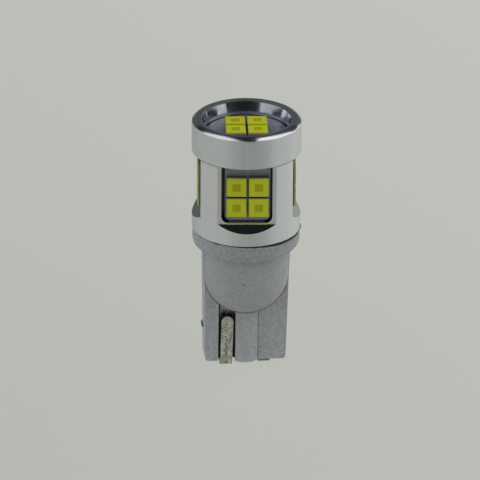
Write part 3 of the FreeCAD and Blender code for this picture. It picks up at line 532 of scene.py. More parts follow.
@dataclass(frozen=True)
class TurnedAluminium:
    """Finely blasted aluminium with faint turning marks; some surfaces are cut bright, and others are painted dark:
    shade at the joint and in the pockets, a reflection at the lip's edge.

    Attributes:
        name: name of the material.
        bright_above: level in the head's frame above which the surface is polished.
        bright_within: radius within which it is polished.
        bright_ledge: level below which surfaces that face up are cut bright.
        seam_level: level of a joint, along whose broken edges shade is painted.
        pocket_foot: level above which shade is painted on the insides of the pockets.
        tarnish_within: radius within which a dark reflection is painted on the edge of the polished metal.
        tones: shares of the colour between which the satin metal varies.
        gloss_spread: shares of the polish between which its roughness varies.
        brush: anisotropy, and its turn.
        blast_relief: shares of the relief that come from the blasting, on satin and on polished metal.
        rings_relief: the same for the turning marks.
    """

    name: str
    colour: Colour = (0.655, 0.678, 0.692)
    bright: Colour = (0.70, 0.72, 0.745)
    dark: Colour = (0.012, 0.010, 0.009)
    bright_above: float = 1.0
    bright_within: float = 0.0
    bright_ledge: float = 0.0
    seam_level: float = 9.2 * MM
    seam_half: float = 0.045 * MM
    seam_dirt: float = 0.75
    pocket_foot: float = 0.0
    pocket_inside: float = 5.0 * MM
    pocket_radius: float = 5.86 * MM
    dirt_edge: float = 0.03 * MM
    tarnish_within: float = 0.0
    tarnish: float = 0.8
    roughness: float = 0.40
    polish: float = 0.12
    facing: Slope = (0.4, 0.55, 0.0, 1.0)
    blast: Noise = Noise(11.0, 3.0, 2.0)
    rings: Noise = Noise(1.0, 3.0, 5.0, (0.15, 0.15, 14.0))
    cloud: Noise = Noise(0.35, 2.0, 8.0)
    streaks: Noise = Noise(1.0, 3.0, 4.0, (3.2, 3.2, 0.05))
    tones: Range = (0.93, 1.05)
    blast_tone: Range = (-0.10, 0.10)
    cloud_tone: Range = (0.42, 0.58)
    streak_tone: Range = (-0.5, 0.5)
    blast_rough: float = 0.05
    cloud_rough: float = 0.03
    gloss_spread: Range = (0.7, 1.3)
    brush: Range = (0.8, 0.25)
    blast_relief: Range = (0.6, 0.0)
    rings_relief: Range = (0.4, 0.12)
    depth: float = 0.008 * MM
    relief: float = 0.35

    def polished(self, graph: Graph, radius: Socket) -> Socket:
        """Return where the metal is cut bright.

        Args:
            graph: the material's tree.
            radius: distance from the head's axis.

        Returns:
            A number between 0 and 1.
        """
        up = graph.parts[2]
        polished = graph.step(up, self.bright_above - EDGE / 2, self.bright_above)
        if self.bright_within:
            polished = graph.most(polished, graph.step(radius, self.bright_within, self.bright_within - EDGE))
        if self.bright_ledge:
            low = graph.step(up, self.bright_ledge, self.bright_ledge - EDGE)
            polished = graph.most(polished, graph.times(graph.step(graph.facing_up(), *self.facing), low))
        return polished

    def blackened(self, graph: Graph, radius: Socket) -> Socket:
        """Return where the metal is painted dark: shade at the joint and in the pockets, a dark reflection at its
        edge.

        Args:
            graph: the material's tree.
            radius: distance from the head's axis.

        Returns:
            A number between 0 and 1.
        """
        # painted dark reflection at the inner edge of the lip
        if self.tarnish_within:
            return graph.step(radius, self.tarnish_within, self.tarnish_within - self.dirt_edge, 0.0, self.tarnish)
        across, deep, up = graph.parts
        # painted shade along the joint
        seam = graph.window(up, self.seam_level - self.seam_half, self.seam_level + self.seam_half, EDGE / 2)
        seam = graph.times(seam, self.seam_dirt)
        if not self.pocket_foot:
            return seam
        # painted shade on the insides of the pockets
        reach = graph.most(graph.unsigned(across), graph.unsigned(deep))
        inside = graph.times(graph.step(reach, self.pocket_inside, self.pocket_inside - self.dirt_edge),
                             graph.step(radius, self.pocket_radius, self.pocket_radius - self.dirt_edge),
                             graph.step(up, self.pocket_foot, self.pocket_foot + EDGE))
        return graph.most(seam, inside)

    def material(self) -> bpy.types.Material:
        """Build the material.

        Returns:
            The material.
        """
        graph = Graph(self.name, on_head=True)
        radius = graph.length(*graph.parts[:2])
        polished = self.polished(graph, radius)
        black = self.blackened(graph, radius)
        blast, rings, cloud, streaks = (graph.noise(layer)
                                        for layer in (self.blast, self.rings, self.cloud, self.streaks))
        tone = graph.plus(graph.spread(blast, *self.blast_tone), graph.spread(cloud, *self.cloud_tone),
                          graph.spread(streaks, *self.streak_tone))
        dull, fair = (tuple(share * part for part in self.colour) for share in self.tones)
        colour = graph.mix(polished, graph.mix(tone, dull, fair), self.bright)
        graph.set("Base Color", graph.mix(black, colour, self.dark))
        graph.set("Metallic", graph.spread(black, 1.0, 0.0))
        graph.set("Anisotropic", self.brush[0])
        graph.set("Anisotropic Rotation", self.brush[1])
        graph.set("Tangent", graph.node("ShaderNodeTangent", direction_type="RADIAL", axis="Z").outputs[0])
        matt = graph.plus(graph.spread(blast, self.roughness - self.blast_rough, self.roughness + self.blast_rough),
                          graph.spread(cloud, -self.cloud_rough, self.cloud_rough))
        gloss = graph.spread(rings, *[self.polish * share for share in self.gloss_spread])
        graph.set("Roughness", graph.node("ShaderNodeMix", {0: polished, 2: matt, 3: gloss}).outputs[0])
        height = graph.plus(graph.times(blast, graph.spread(polished, *self.blast_relief)),
                            graph.times(rings, graph.spread(polished, *self.rings_relief)))
        graph.bump(height, self.depth, self.relief)
        return graph.material


@dataclass(frozen=True)
class TinnedWire:
    """Dull tinned wire, pressed flat, with dark pits, scratches and a worn streak along its middle."""

    colour: Colour = (0.50, 0.50, 0.41)
    pale: Colour = (0.72, 0.72, 0.61)
    pit: Colour = (0.05, 0.05, 0.04)
    coated: Colour = (0.30, 0.315, 0.32)
    pits_per_mm: float = 3.4
    pit_size: float = 0.33
    middle: float = 2.12 * MM
    worn_aside: Range = (0.22 * MM, 0.04 * MM)
    worn_below: Range = (3.4 * MM, 1.8 * MM)
    fold_top: float = 0.40 * MM
    fold_inside: float = 1.0 * MM
    fold_soft: float = 0.1 * MM
    metallic: float = 0.35
    pale_edge: Range = (0.4, 0.62)
    cloud: Noise = Noise(2.2, 4.0, 3.0)
    scratches: Noise = Noise(1.0, 4.0, 6.0, (5.0, 5.0, 0.8))
    wear: Noise = Noise(3.5, 3.0, 9.0)
    scratch_tone: Slope = (0.56, 0.68, 0.0, 0.75)
    worn_tone: Slope = (0.42, 0.58, 0.0, 0.7)
    pit_tone: float = 0.85
    feel: Feel = Feel(0.45, 0.75, 0.06 * MM, 0.6)

    def material(self) -> bpy.types.Material:
        """Build the material.

        Returns:
            The material.
        """
        graph = Graph("tinned_wire")
        across, deep, up = graph.parts
        cloud = graph.noise(self.cloud)
        colour = graph.mix(graph.step(cloud, *self.pale_edge), self.colour, self.pale)
        cells = graph.node("ShaderNodeTexVoronoi", {"Vector": graph.place, "Scale": self.pits_per_mm / MM})
        pits = graph.step(cells.outputs["Distance"], self.pit_size, self.pit_size / 2, 0.0, self.pit_tone)
        aside = graph.unsigned(graph.minus(graph.unsigned(across), self.middle))
        worn = graph.times(graph.step(aside, *self.worn_aside), graph.step(up, *self.worn_below),
                           graph.step(graph.noise(self.wear), *self.worn_tone))
        dark = graph.most(pits, graph.step(graph.noise(self.scratches), *self.scratch_tone), worn)
        coated = graph.times(graph.step(graph.unsigned(deep), self.fold_inside, self.fold_inside - self.fold_soft),
                             graph.step(up, self.fold_top, self.fold_top - EDGE))
        graph.set("Metallic", self.metallic)
        return graph.finish(graph.mix(coated, graph.mix(dark, colour, self.pit), self.coated), cloud, self.feel)


@dataclass(frozen=True)
class SeamGlue:
    """Dark brown adhesive, squeezed out between the base and the head."""

    colour: Colour = (0.006, 0.005, 0.005)
    second: Colour = (0.030, 0.014, 0.010)
    patch_edge: Range = (0.42, 0.6)
    cloud: Noise = Noise(1.3, 3.0, 3.0)
    feel: Feel = Feel(0.35, 0.7, 0.03 * MM, 0.5)

    def material(self) -> bpy.types.Material:
        """Build the material.

        Returns:
            The material.
        """
        graph = Graph("seam_glue")
        cloud = graph.noise(self.cloud)
        colour = graph.mix(graph.step(cloud, *self.patch_edge), self.colour, self.second)
        return graph.finish(colour, cloud, self.feel)


@dataclass(frozen=True)
class SolderMask:
    """Solder mask of a diode board, with fine weave showing through and faint tracks.

    Attributes:
        name: name of the material.
        colour: the mask over the laminate.
        track: the mask over copper.
    """

    name: str
    colour: Colour
    track: Colour
    feel: Feel = Feel(0.25, 0.41, 0.01 * MM, 0.25, 0.55)
    weave: Noise = Noise(7.0, 2.0, 5.0)
    weave_tone: Range = (0.0, 0.3)
    tracks: Noise = Noise(1.1, 3.0, 2.0)
    track_edge: Range = (0.44, 0.56)

    def material(self) -> bpy.types.Material:
        """Build the material.

        Returns:
            The material.
        """
        graph = Graph(self.name, on_head=True)
        weave = graph.noise(self.weave)
        colour = graph.mix(graph.step(graph.noise(self.tracks), *self.track_edge), self.colour, self.track)
        colour = graph.mix(graph.spread(weave, *self.weave_tone), colour, self.colour)
        return graph.finish(colour, weave, self.feel)


@dataclass(frozen=True)
class PhosphorPlate:
    """Yellow phosphor over a darker square chip of three by three cells, in the plate's own coordinates."""

    colour: Colour = (0.64, 0.66, 0.014)
    rim: Colour = (0.58, 0.65, 0.010)
    chip: Colour = (0.40, 0.41, 0.010)
    cell: Colour = (0.32, 0.325, 0.010)
    cells: int = 3
    chip_half: float = 0.42
    chip_edge: Range = (0.49, 0.37)
    rim_edge: Range = (0.72, 0.9)
    cloud_tone: Range = (0.8, 1.0)
    tints: Range = (0.96, 1.04)
    grain_tint: Range = (-0.05, 0.05)
    grain: Noise = Noise(14.0, 3.0, 1.0)
    cloud: Noise = Noise(1.6, 2.0, 3.0)
    feel: Feel = Feel(0.4, 0.6, 0.01 * MM, 0.25, 0.2)

    def material(self) -> bpy.types.Material:
        """Build the material.

        Returns:
            The material.
        """
        graph = Graph("phosphor_plate")
        across, deep, _ = graph.split(graph.attribute("own_place").outputs["Vector"])
        reach = graph.most(graph.unsigned(across), graph.unsigned(deep))
        grain = graph.noise(self.grain)
        colour = graph.mix(graph.step(reach, *self.rim_edge), self.colour, self.rim)
        square = graph.times(graph.step(reach, *self.chip_edge),
                             graph.spread(graph.noise(self.cloud), *self.cloud_tone))
        colour = graph.mix(square, colour, self.chip)
        turns = self.cells * math.pi / self.chip_half
        waves = [graph.most(graph.math("COSINE", graph.times(part, turns)), 0.0) for part in (across, deep)]
        colour = graph.mix(graph.times(*waves, square), colour, self.cell)
        tint = graph.spread(graph.attribute("diode_tint").outputs["Fac"], *self.tints)
        feeds = {"Color": colour, "Value": graph.plus(tint, graph.spread(grain, *self.grain_tint))}
        return graph.finish(graph.node("ShaderNodeHueSaturation", feeds).outputs[0], grain, self.feel)


@dataclass(frozen=True)
class DiodeCarrier:
    """Dark moulded carrier of a diode with a pale rim around the plate, in the carrier's own coordinates."""

    side: Colour = (0.11, 0.105, 0.13)
    rim: Colour = (0.27, 0.265, 0.37)
    rim_level: Range = (0.80, 0.86)
    rim_tone: Range = (0.85, 1.0)
    grain: Noise = Noise(8.0, 3.0, 1.0)
    feel: Feel = Feel(0.35, 0.55, 0.01 * MM, 0.25)

    def material(self) -> bpy.types.Material:
        """Build the material.

        Returns:
            The material.
        """
        graph = Graph("diode_carrier")
        level = graph.split(graph.attribute("own_place").outputs["Vector"])[2]
        grain = graph.noise(self.grain)
        top = graph.times(graph.step(level, *self.rim_level), graph.spread(grain, *self.rim_tone))
        return graph.finish(graph.mix(top, self.side, self.rim), grain, self.feel)


@dataclass(frozen=True)
class MouldedPiece:
    """Plain moulded or coated material with fine grain.

    Attributes:
        name: name of the material.
        colour: main colour.
        second: colour of its patches.
        metallic: share of metal.
        roughness: mean roughness.
    """

    name: str
    colour: Colour
    second: Colour
    metallic: float = 0.0
    roughness: float = 0.5
    rough_spread: float = 0.1
    patch_edge: Range = (0.4, 0.6)
    grain_tone: Range = (0.0, 0.4)
    grain: Noise = Noise(6.0, 3.0, 1.0)
    patches: Noise = Noise(0.75, 2.0, 2.0)

    def material(self) -> bpy.types.Material:
        """Build the material.

        Returns:
            The material.
        """
        graph = Graph(self.name)
        grain = graph.noise(self.grain)
        colour = graph.mix(graph.step(graph.noise(self.patches), *self.patch_edge), self.colour, self.second)
        graph.set("Metallic", self.metallic)
        colour = graph.mix(graph.spread(grain, *self.grain_tone), colour, self.colour)
        feel = Feel(self.roughness - self.rough_spread, self.roughness + self.rough_spread, 0.01 * MM, 0.3)
        return graph.finish(colour, grain, feel)


@dataclass(frozen=True)
class DiodeBoard:
    """Sizes and place of the diodes on one board.

    Attributes:
        middle: middle of the array in the frame of the head.
        face_turn: turn of the board about the axis, in degrees.
        level: whether the board lies level and faces up.
        count: diodes along each side of the array.
        skew: largest turn of a diode on its board.
    """

    middle: Point
    face_turn: float
    level: bool = False
    count: int = 2
    pitch: float = 2.42 * MM
    carrier_width: float = 2.2 * MM
    carrier_height: float = 0.68 * MM
    plate_width: float = 2.12 * MM
    plate_height: float = 0.14 * MM
    bevel: float = 0.03 * MM
    skew: float = math.radians(0.35)

    def matrix(self) -> Matrix:
        """Return the matrix from the array's own plane to the object's frame.

        Returns:
            The matrix.
        """
        turn = Matrix.Rotation(math.radians(self.face_turn), 4, "Z")
        upright = Matrix.Identity(4) if self.level else Matrix.Rotation(math.radians(90), 4, "X")
        return HEAD.matrix() @ turn @ Matrix.Translation(self.middle) @ upright


class Diodes(Wiring):
    """Geometry Nodes that lay a square array of diodes, each a bevelled carrier under a crowned plate."""

    INPUTS = {"Int": ("Count", "Seed"), "Material": ("Carrier Finish", "Plate Finish"),
              "Float": ("Pitch", "Carrier Width", "Carrier Height", "Plate Width", "Plate Height", "Bevel", "Skew")}

    def __init__(self, carrier: bpy.types.Material, plate: bpy.types.Material) -> None:
        """Keep the two finishes and build the node tree.

        Args:
            carrier: finish of the carriers.
            plate: finish of the phosphor plates.
        """
        super().__init__(bpy.data.node_groups.new("diode_array", "GeometryNodeTree"))
        self.carrier = carrier
        self.plate = plate
        self.inputs: dict[str, str] = {}
        for kind, names in self.INPUTS.items():
            for name in names:
                item = self.tree.interface.new_socket(name, in_out="INPUT", socket_type="NodeSocket" + kind)
                self.inputs[name] = item.identifier
        self.tree.interface.new_socket("Geometry", in_out="OUTPUT", socket_type="NodeSocketGeometry")
        self.given = self.node("NodeGroupInput").outputs
        self.node("NodeGroupOutput", {0: self.dressed(self.array())})

    def join(self, *parts: Socket) -> Socket:
        """Join pieces of geometry.

        Args:
            parts: the pieces, of which the last comes first in the mesh.

        Returns:
            The joined geometry.
        """
        joined = self.node("GeometryNodeJoinGeometry")
        for part in parts:
            self.feed(joined.inputs[0], part)
        return joined.outputs[0]

    def store(self, geometry: Socket, name: str, kind: str, domain: str, value: object) -> Socket:
        """Store a named attribute and return the geometry."""
        feeds = {"Geometry": geometry, "Name": name, "Value": value}
        return self.node("GeometryNodeStoreNamedAttribute", feeds, data_type=kind, domain=domain).outputs[0]

    def extrude(self, mesh: Socket, height: Socket, top: Socket | None = None) -> tuple[Socket, Socket]:
        """Raise faces as one.

        Args:
            mesh: the mesh.
            height: how far they are raised.
            top: which faces are raised, or None for all.

        Returns:
            The new mesh and which of its faces are at the top.
        """
        feeds = {"Mesh": mesh, "Offset Scale": height, "Individual": False}
        if top:
            feeds["Selection"] = top
        made = self.node("GeometryNodeExtrudeMesh", feeds)
        return made.outputs["Mesh"], made.outputs["Top"]

    def narrow(self, mesh: Socket, top: Socket, share: Number) -> Socket:
        """Scale the top face of a mesh about its middle."""
        feeds = {"Geometry": mesh, "Selection": top, "Scale": share}
        return self.node("GeometryNodeScaleElements", feeds).outputs[0]

    def grid(self, size: Socket, count: "Socket | int") -> Socket:
        """Return a flat square grid."""
        feeds = {"Size X": size, "Size Y": size, "Vertices X": count, "Vertices Y": count}
        return self.node("GeometryNodeMeshGrid", feeds).outputs[0]

    def block(self, name: str, crown: float, is_plate: bool) -> Socket:
        """Raise a square into a closed block with a bevelled top edge, which knows each point's place in it.

        Args:
            name: start of the names of its sizes.
            crown: share of the height by which the middle of the top stands up.
            is_plate: what the attribute of that name says on its faces.

        Returns:
            The block, standing on its square. The attribute own_place runs from -1 to 1 across it and from
            0 to 1 up it.
        """
        width, height, bevel = self.given[name + " Width"], self.given[name + " Height"], self.given["Bevel"]
        square = self.grid(width, 2)
        foot = self.node("GeometryNodeFlipFaces", {"Mesh": square}).outputs[0]
        mesh, top = self.extrude(square, self.minus(height, bevel))
        mesh, top = self.extrude(mesh, bevel, top)
        mesh = self.narrow(mesh, top, self.minus(1.0, self.math("DIVIDE", self.times(bevel, 2.0), width)))
        mesh, top = self.extrude(mesh, self.times(height, crown), top)
        mesh = self.join(self.narrow(mesh, top, 0.8), foot)
        mesh = self.node("GeometryNodeMergeByDistance", {"Geometry": mesh, "Distance": 0.001 * MM}).outputs[0]
        half = self.math("DIVIDE", width, 2.0)
        size = self.node("ShaderNodeCombineXYZ", {0: half, 1: half, 2: height}).outputs[0]
        place = self.node("GeometryNodeInputPosition").outputs[0]
        share = self.node("ShaderNodeVectorMath", {0: place, 1: size}, operation="DIVIDE").outputs[0]
        mesh = self.store(mesh, "own_place", "FLOAT_VECTOR", "POINT", share)
        return self.store(mesh, "is_plate", "BOOLEAN", "FACE", is_plate)

    def random(self, low: Number, high: Number) -> Socket:
        """Return a random number for each diode."""
        feeds = {2: low, 3: high, "Seed": self.given["Seed"]}
        return self.node("FunctionNodeRandomValue", feeds, data_type="FLOAT").outputs[1]

    def array(self) -> Socket:
        """Lay copies of one diode on a square grid, each with its own small turn and tint.

        Returns:
            The diodes as plain meshes.
        """
        given = self.given
        carrier = self.block("Carrier", 0.0, False)
        plate = self.block("Plate", 0.05, True)
        lift = self.node("ShaderNodeCombineXYZ", {2: given["Carrier Height"]}).outputs[0]
        plate = self.node("GeometryNodeTransform", {"Geometry": plate, "Translation": lift}).outputs[0]
        span = self.times(given["Pitch"], self.minus(given["Count"], 1.0))
        skew = self.random(self.times(given["Skew"], -1.0), given["Skew"])
        turn = self.node("ShaderNodeCombineXYZ", {2: skew}).outputs[0]
        feeds = {"Points": self.grid(span, given["Count"]), "Instance": self.join(plate, carrier), "Rotation": turn}
        laid = self.node("GeometryNodeInstanceOnPoints", feeds).outputs[0]
        laid = self.store(laid, "diode_tint", "FLOAT", "INSTANCE", self.random(0.0, 1.0))
        return self.node("GeometryNodeRealizeInstances", {"Geometry": laid}).outputs[0]

    def dressed(self, mesh: Socket) -> Socket:
        """Give the carriers and the plates their finishes.

        Args:
            mesh: the diodes.

        Returns:
            The dressed diodes.
        """
        feeds = {"Geometry": mesh, "Material": self.given["Carrier Finish"]}
        mesh = self.node("GeometryNodeSetMaterial", feeds).outputs[0]
        chosen = self.node("GeometryNodeInputNamedAttribute", {"Name": "is_plate"}, data_type="BOOLEAN").outputs[0]
        feeds = {"Geometry": mesh, "Selection": chosen, "Material": self.given["Plate Finish"]}
        return self.node("GeometryNodeSetMaterial", feeds).outputs[0]

    def lay(self, name: str, board: DiodeBoard, seed: int) -> bpy.types.Object:
        """Lay the diodes of one board as a plain mesh; the board's sizes have the names of the tree's inputs.

        Args:
            name: name of the piece.
            board: sizes and place of the array.
            seed: seed of its small differences.

        Returns:
            The finished piece.
        """
        source = add_object(name + "_source", bpy.data.meshes.new(name + "_source"))
        modifier = source.modifiers.new("array", "NODES")
        modifier.node_group = self.tree
        values = {"Seed": seed, "Carrier Finish": self.carrier, "Plate Finish": self.plate}
        for key in ("Count", *self.INPUTS["Float"]):
            values[key] = getattr(board, key.lower().replace(" ", "_"))
        for key, value in values.items():
            modifier[self.inputs[key]] = value
        evaluated = source.evaluated_get(bpy.context.evaluated_depsgraph_get())
        result = bpy.data.meshes.new_from_object(evaluated)
        result.name = name
        source.modifiers.remove(modifier)
        bpy.data.objects.remove(source)
        result.transform(board.matrix())
        log.info("%s: %d faces", name, len(result.polygons))
        return add_object(name, result)


def ring_piece(name: str, section: Callable[[float], list[Vector]], turns: int, material: bpy.types.Material,
               sharp_from: int | None = None) -> bpy.types.Object:
    """Join closed sections that stand all round an axis into one ring.

    Args:
        name: name of the piece.
        section: gives the points of the section at a turn in radians.
        turns: steps round the axis.
        material: finish of the ring.
        sharp_from: first side of the section whose faces are flat-shaded.

    Returns:
        The piece.
    """
    sections = [section(2 * math.pi * index / turns) for index in range(turns)]
    sides = len(sections[0])
    faces = []
    for turn in range(turns):
        here = turn * sides
        there = (turn + 1) % turns * sides
        for side in range(sides):
            beside = (side + 1) % sides
            faces.append((here + side, there + side, there + beside, here + beside))
    mesh = bpy.data.meshes.new(name)
    mesh.from_pydata([point for section in sections for point in section], [], faces)
    smooth = [sharp_from is None or index % sides < sharp_from for index in range(len(faces))]
    mesh.polygons.foreach_set("use_smooth", smooth)
    mesh.materials.append(material)
    log.info("%s: %d faces", name, len(faces))
    return add_object(name, mesh)


def paint(node: str, material: bpy.types.Material) -> None:
    """Give every material slot of a CAD node one finish.

    Args:
        node: name of the node.
        material: its finish.
    """
    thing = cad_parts[node]
    if not thing.material_slots:
        thing.data.materials.append(material)
    for slot in thing.material_slots:
        slot.material = material
    log.info("%s: %s", node, material.name)


@dataclass(frozen=True)
class CapLip:
    """Skin on the lip of the cap: its crest falls ever faster outwards and rounds off inwards.

    Attributes:
        level: height of the crest above the seat of the head.
        crest: radius of the crest.
        outer: radius of the outer edge.
        outer_fall: drop from the crest to the outer edge.
        inner: radius of the inner edge.
        inner_fall: drop from the crest to the inner edge.
        inner_power: how sharply the crest turns down at the inner edge.
        sunk: depth of the hidden underside below the edges.
        steps: steps across each half of the skin.
        turns: steps round the lip.
    """

    level: float = 12.854 * MM
    crest: float = 5.30 * MM
    outer: float = 5.995 * MM
    outer_fall: float = 0.30 * MM
    inner: float = 4.905 * MM
    inner_fall: float = 0.175 * MM
    inner_power: float = 5.0
    sunk: float = 0.08 * MM
    steps: int = 14
    turns: int = 216

    def profile(self) -> list[tuple[float, float]]:
        """Return the section, from the outer edge over the crest and back below.

        Returns:
            Radius and level of each point.
        """
        points = []
        for index in range(self.steps):
            share = 1 - index / self.steps
            points.append((self.crest + (self.outer - self.crest) * share,
                           self.level - self.outer_fall * share ** 2))
        for index in range(self.steps + 1):
            share = math.sin(math.pi / 2 * index / self.steps)
            drop = 1 - max(0.0, 1 - share ** self.inner_power) ** (1 / self.inner_power)
            points.append((self.crest - (self.crest - self.inner) * share, self.level - self.inner_fall * drop))
        points.append((self.inner + self.sunk, self.level - self.inner_fall - self.sunk))
        points.append((self.outer - self.sunk, self.level - self.outer_fall - self.sunk))
        return points

    def section(self, turn: float) -> list[Vector]:
        """Return the section at a turn in radians, in the object's frame."""
        matrix = HEAD.matrix()
        return [matrix @ Vector((radius * math.cos(turn), radius * math.sin(turn), level))
                for radius, level in self.profile()]

    def lay(self, finish: TurnedAluminium) -> None:
        """Lay the skin round the lip, with only its hidden underside flat-shaded.

        Args:
            finish: finish of the skin.
        """
        skin = ring_piece("cap_lip", self.section, self.turns, finish.material(), sharp_from=2 * self.steps)
        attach(skin, "root")


@dataclass
class Head:
    """Aluminium head: heat sink, cap, boards and their diodes."""

    board_face: float = 4.57 * MM
    diode_level: float = 5.62 * MM
    board_shift: float = 0.08 * MM
    top_level: float = 11.22 * MM
    top_turn: float = 0.9
    cap_outer_edge: float = 12.56 * MM
    cap_inside: float = 5.5 * MM
    flat_foot: float = 2.38 * MM
    pocket_foot: float = 2.44 * MM
    lip_polish: float = 0.2
    lip_tarnish: float = 5.02 * MM
    first_seed: int = 11
    lip: CapLip = field(default_factory=CapLip)

    def dress(self) -> None:
        """Give the metal and the boards their finishes."""
        sink = TurnedAluminium("heat_sink_aluminium", (0.70, 0.725, 0.74), (0.67, 0.69, 0.68),
                               bright_ledge=self.flat_foot, pocket_foot=self.pocket_foot, polish=0.03)
        # the cap's bright metal is tinted blue: a painted cast of the bluish light it reflects
        cap = TurnedAluminium("cap_aluminium", bright=(0.70, 0.735, 0.81), bright_above=self.cap_outer_edge,
                              bright_within=self.cap_inside)
        top_mask = SolderMask("top_solder_mask", (0.115, 0.135, 0.165), (0.15, 0.17, 0.205),
                              Feel(0.22, 0.38, 0.01 * MM, 0.25, 0.55))
        # the side boards' mask is lighter than the top's to make up for the light they lose in their pockets:
        # painted light
        side_mask_lightened = SolderMask("side_solder_mask_lightened", (0.31, 0.315, 0.345), (0.37, 0.375, 0.41)).material()
        bond = MouldedPiece("pale_bond", (0.55, 0.55, 0.52), (0.48, 0.48, 0.46), roughness=0.6).material()
        paint("heat_sink", sink.material())
        paint("reflector_cap", cap.material())
        paint("top_board", top_mask.material())
        paint("top_bond", bond)
        for side in Side:
            paint(f"{side.label}_board", side_mask_lightened)
            paint(f"{side.label}_bond", bond)

    def lay_lip(self) -> None:
        """Lay the rounded bright skin on the lip of the cap."""
        # the skin's inner edge carries a painted dark reflection
        self.lip.lay(TurnedAluminium("lip_aluminium", bright_above=0.0, polish=self.lip_polish,
                                     tarnish_within=self.lip_tarnish))

    def lay_diodes(self) -> None:
        """Lay four diodes on each board, in place of the plain CAD ones."""
        diodes = Diodes(DiodeCarrier().material(), PhosphorPlate().material())
        boards = {"top": DiodeBoard((0, 0, self.top_level), self.top_turn, level=True)}
        for side in Side:
            shift = self.board_shift if side is Side.FRONT else 0.0
            boards[side.label] = DiodeBoard((shift, -self.board_face, self.diode_level), side.value)
        for seed, (name, board) in enumerate(boards.items(), start=self.first_seed):
            piece = diodes.lay(f"{name}_diodes", board, seed)
            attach(piece, "root")
            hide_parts(*[f"{name}_led_{number}" for number in range(1, 5)])


@dataclass
class Base:
    """Moulded base with its two contact wires and the glue in its upper seam.

    Attributes:
        bead_radius: radius of the bead of glue about the axis.
        bead_depth: half its size outwards.
        bead_half: half its height.
        bead_spread: how far it swells where the seam is open.
        bead_lumps: size of its lumps; a larger number makes them smaller.
        bead_stray: how far its lumps push it outwards.
    """

    coating: MouldedGrey = field(default_factory=MouldedGrey)
    wire: TinnedWire = field(default_factory=TinnedWire)
    glue: SeamGlue = field(default_factory=SeamGlue)
    bead_radius: float = 5.80 * MM
    bead_depth: float = 0.12 * MM
    bead_half: float = 0.075 * MM
    bead_spread: float = 0.030 * MM
    bead_lumps: float = 9.0
    bead_stray: float = 0.01 * MM
    bead_turns: int = 300
    bead_sides: int = 12

    def dress(self) -> None:
        """Give the base and the wires their finishes."""
        paint("wedge_base", self.coating.material())
        wire = self.wire.material()
        paint("front_contact", wire)
        paint("rear_contact", wire)

    def bead_ring(self, turn: float) -> list[Vector]:
        """Return one section of the bead of glue, which fills the gap that the tilt of the head opens.

        Args:
            turn: turn about the axis, in radians.

        Returns:
            Points of the section, all round it.
        """
        ragged = fractal(Vector((math.cos(turn), math.sin(turn), 0.0)) * self.bead_lumps, 2.0, 0.6, 3)
        open_side = 0.5 + 0.5 * math.cos(turn)
        swell = self.bead_spread * open_side ** 2 * (0.8 + 0.5 * ragged)
        gap = (HEAD.radius + self.bead_radius * math.cos(turn)) * math.tan(HEAD.tilt)
        half = self.bead_half + gap / 2 + swell / 4
        deep = self.bead_depth + swell / 2
        middle = self.bead_radius + swell / 2 + self.bead_stray * ragged
        points = []
        for index in range(self.bead_sides):
            angle = 2 * math.pi * index / self.bead_sides
            radius = middle + deep * math.cos(angle)
            level = HEAD.seat + gap / 2 + half * math.sin(angle)
            points.append(Vector((radius * math.cos(turn), radius * math.sin(turn), level)))
        return points

    def lay_glue(self) -> None:
        """Lay the bead of glue all round the seam."""
        bead = ring_piece("seam_glue", self.bead_ring, self.bead_turns, self.glue.material())
        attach(bead, "root")


@dataclass
class Driver:
    """Driver board and its components, inside the base and the head."""

    mask: MouldedPiece = MouldedPiece("driver_mask", (0.01, 0.09, 0.03), (0.015, 0.12, 0.04), roughness=0.35)
    black: MouldedPiece = MouldedPiece("chip_black", (0.02, 0.02, 0.02), (0.03, 0.03, 0.03), roughness=0.55)
    fired: MouldedPiece = MouldedPiece("fired_ceramic", (0.34, 0.25, 0.15), (0.28, 0.20, 0.12), roughness=0.45)
    copper: MouldedPiece = MouldedPiece("copper_wire", (0.70, 0.36, 0.22), (0.60, 0.30, 0.18), 1.0, 0.35)

    def dress(self) -> None:
        """Give the driver its finishes."""
        faces = ("top", *(side.label for side in Side))
        for finish, nodes in (
            (self.mask, ("driver_board",)),
            (self.black, ("bridge_rectifier", "driver_chip", "inductor", "flyback_diode")),
            (self.fired, ("input_capacitor", "sense_resistor")),
            (self.copper, [f"{face}_feed_wire_{number}" for face in faces for number in (1, 2)]),
        ):
            material = finish.material()
            for node in nodes:
                paint(node, material)


@dataclass(frozen=True)
class Panel:
    """One soft light: a rectangle whose face is turned to the bulb.

    Attributes:
        name: name of the light.
        foot: one end of its lower edge.
        end: the other end of its lower edge.
        top: the corner above its foot.
        radiance: brightness of its face.
        tint: colour of its light.
    """

    name: str
    foot: Point
    end: Point
    top: Point
    radiance: float
    tint: Colour = (1.0, 1.0, 1.0)

    def hang(self) -> None:
        """Add the light to the scene; it shines along its own -Z, which points towards the bulb."""
        foot = Vector(self.foot)
        along, rise = Vector(self.end) - foot, Vector(self.top) - foot
        middle = foot + (along + rise) / 2
        if along.cross(rise).dot(middle) < 0:
            along.negate()
        data = bpy.data.lights.new(self.name, "AREA")
        data.shape = "RECTANGLE"
        data.size = along.length
        data.size_y = rise.length
        data.energy = self.radiance * math.pi * data.size * data.size_y
        data.color = self.tint
        along.normalize()
        rise.normalize()
        matrix = Matrix((along, rise, along.cross(rise))).transposed().to_4x4()
        matrix.translation = middle
        add_object(self.name, data).matrix_world = matrix


